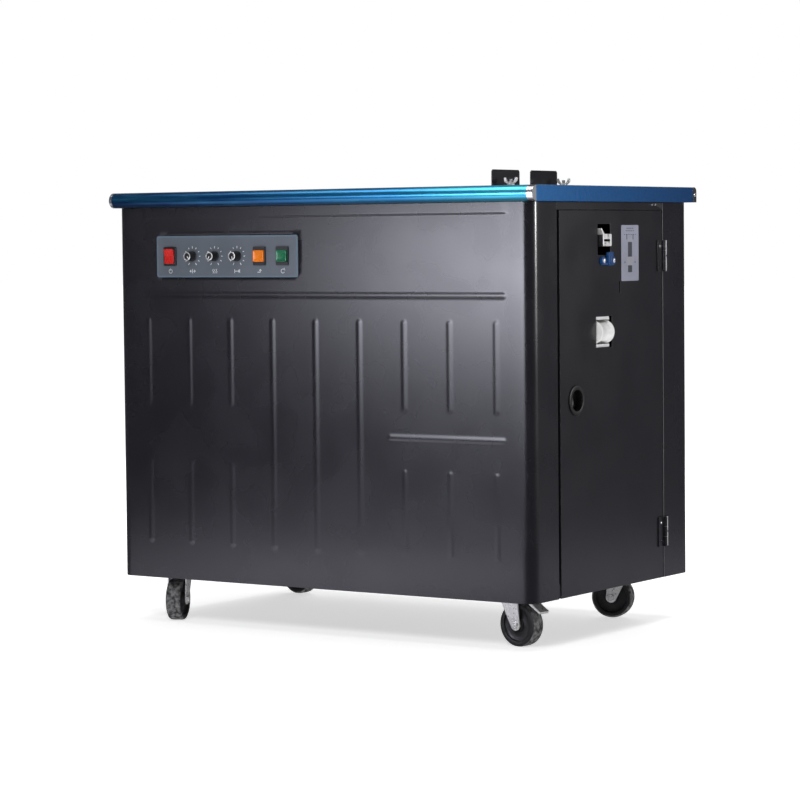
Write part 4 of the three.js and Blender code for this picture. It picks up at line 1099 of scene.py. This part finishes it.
def studio_world():
    """White to the camera; dim and even to everything that lights or mirrors the object."""
    world = bpy.data.worlds.new("studio")
    bpy.context.scene.world = world
    world.use_nodes = True
    nodes = Nodes(world.node_tree)
    path = nodes.node("ShaderNodeLightPath")
    lighting = nodes.mix(path.outputs["Is Glossy Ray"], (0.18, 0.18, 0.185), (0.088, 0.088, 0.108))
    seen = nodes.mix(path.outputs["Is Camera Ray"], lighting, (1.0, 1.0, 1.0))
    nodes.link(seen, nodes.tree.nodes["Background"].inputs["Color"])


def pale_floor():
    """A white floor that fades into the backdrop; to glossy rays it is black but for two glowing patches, a
    painted reflection in the paint.
    """
    s = Shader("pale_floor")
    path = s.node("ShaderNodeLightPath")
    s.set(Roughness=0.8, Specular_IOR_Level=0.0)
    # To glossy rays the floor's base colour is black, so only the painted reflection patches below show in the
    # paint.
    s.colour(s.mix(path.outputs["Is Glossy Ray"], (0.8, 0.8, 0.8), (0.0, 0.0, 0.0)))

    def away_from(centre):
        away = s.node("ShaderNodeVectorMath", operation="DISTANCE")
        s.link(s.place, away.inputs[0])
        away.inputs[1].default_value = centre
        return away.outputs["Value"]

    def glow_round(centre, level):
        return s.remap(away_from(centre), level, 0.12, start=0.25, stop=1.0)

    # Painted reflection: two glowing patches that only glossy rays see.
    painted_reflection_glow = s.calc("MAXIMUM", glow_round((-0.4, -1.2, 0), 2.6), glow_round((0.95, 0.7, 0), 0.5))
    speck = s.remap(s.noise(2.0, 2.0), 0.0, 0.02)
    far = s.remap(away_from((0, 0, 0)), 0.62, 1.0, start=0.8, stop=2.6)
    seen = s.calc("SUBTRACT", far, speck)
    light = s.mix(path.outputs["Is Glossy Ray"], (1.0, 1.0, 1.0), (0.97, 0.955, 1.1))
    s.link(light, s.surface.inputs["Emission Color"])
    glow = s.node("ShaderNodeMix", data_type="FLOAT")
    s.link(path.outputs["Is Glossy Ray"], glow.inputs[0])
    s.link(seen, glow.inputs[2])
    s.link(painted_reflection_glow, glow.inputs[3])
    s.link(glow.outputs[0], s.surface.inputs["Emission Strength"])
    bm = bmesh.new()
    bmesh.ops.create_grid(bm, x_segments=1, y_segments=1, size=30.0)
    stage_piece("floor", bm, s.material)


CARD_GLOW = 13.5
CARD_SIDEWAYS = ((0.04, 0.002), (0.15, 0.01), (0.25, 0.06), (0.34, 0.22), (0.42, 0.52), (0.52, 0.85),
                 (0.58, 1.0))
CARD_UPWARD = ((0.1, 0.012), (0.3, 0.03), (0.42, 0.07), (0.54, 0.18), (0.64, 0.46), (0.74, 1.0))


def front_card():
    """A glowing card seen only as its mirror image in the front panel: brightest right and high up."""
    s = Shader("front_card")
    x_low, x_high, z_low, z_high, y = -1.5, 0.6, 0.0, 0.77, -1.45
    across = s.remap(s.axis("X"), 0.0, 1.0, start=x_low, stop=x_high)
    above = s.remap(s.axis("Z"), 0.0, 1.0, start=z_low, stop=z_high)
    sideways = s.ramp(across, [(at, (level,) * 3) for at, level in CARD_SIDEWAYS])
    upward = s.ramp(above, [(at, (level,) * 3) for at, level in CARD_UPWARD])
    glow = s.calc("MULTIPLY", s.calc("MULTIPLY", sideways, upward), CARD_GLOW)
    s.set(Base_Color=(0, 0, 0, 1), Specular_IOR_Level=0.0, Emission_Color=(0.95, 0.955, 1.09, 1))
    s.link(glow, s.surface.inputs["Emission Strength"])
    s.material.cycles.emission_sampling = "NONE"
    bm = bmesh.new()
    corners = [(x_low, z_low), (x_high, z_low), (x_high, z_high), (x_low, z_high)]
    bm.faces.new([bm.verts.new((x, y, z)) for x, z in corners])
    card = stage_piece("front_card", bm, s.material)
    for kind in ("camera", "diffuse", "shadow", "transmission", "volume_scatter"):
        setattr(card, f"visible_{kind}", False)


def studio():
    studio_world()
    pale_floor()
    front_card()
    corner = area_light("corner_strip", (2.14, 0.78, 0.90), (0.43, -0.25, 0.7), (0.20, 0.42), 26)
    edge = area_light("edge_strip", (-0.70, -1.0, 2.6), (0.2, -0.29, 0.76), (1.6, 1.0), 20)
    for lamp in (corner, edge):
        lamp.visible_diffuse = False
    key = area_light("key_softbox", (1.2, -3.6, 3.4), (0, 0, 0.5), (1.6, 1.6), 80)
    back = area_light("back_softbox", (-1.2, 3.0, 1.8), (0, 0.2, 0.4), (2.4, 2.4), 60)
    top = area_light("top_softbox", (0, 0.2, 3.0), (0, 0, 0), (2.4, 2.0), 40)
    for lamp in (key, back, top):
        lamp.visible_glossy = False
    bpy.context.scene.view_settings.view_transform = "Standard"


def camera():
    data = bpy.data.cameras.new("camera")
    data.lens = 129.5
    data.sensor_width = 36.0
    data.clip_end = 60
    eye = bpy.data.objects.new("camera", data)
    bpy.context.scene.collection.objects.link(eye)
    yaw, pitch, roll = math.radians(33.95), math.radians(3.24), math.radians(-0.57)
    right = Vector((math.cos(yaw), math.sin(yaw), 0))
    ahead = Vector((-math.sin(yaw), math.cos(yaw), 0)) * math.cos(pitch) - Z * math.sin(pitch)
    up = right.cross(ahead)
    tilted_right = right * math.cos(roll) + up * math.sin(roll)
    tilted_up = up * math.cos(roll) - right * math.sin(roll)
    turn = Matrix((tilted_right, tilted_up, -ahead)).transposed().to_4x4()
    eye.matrix_world = Matrix.Translation((2.900, -4.320, 0.691)) @ turn
    bpy.context.scene.camera = eye


build_object()
studio()
camera()
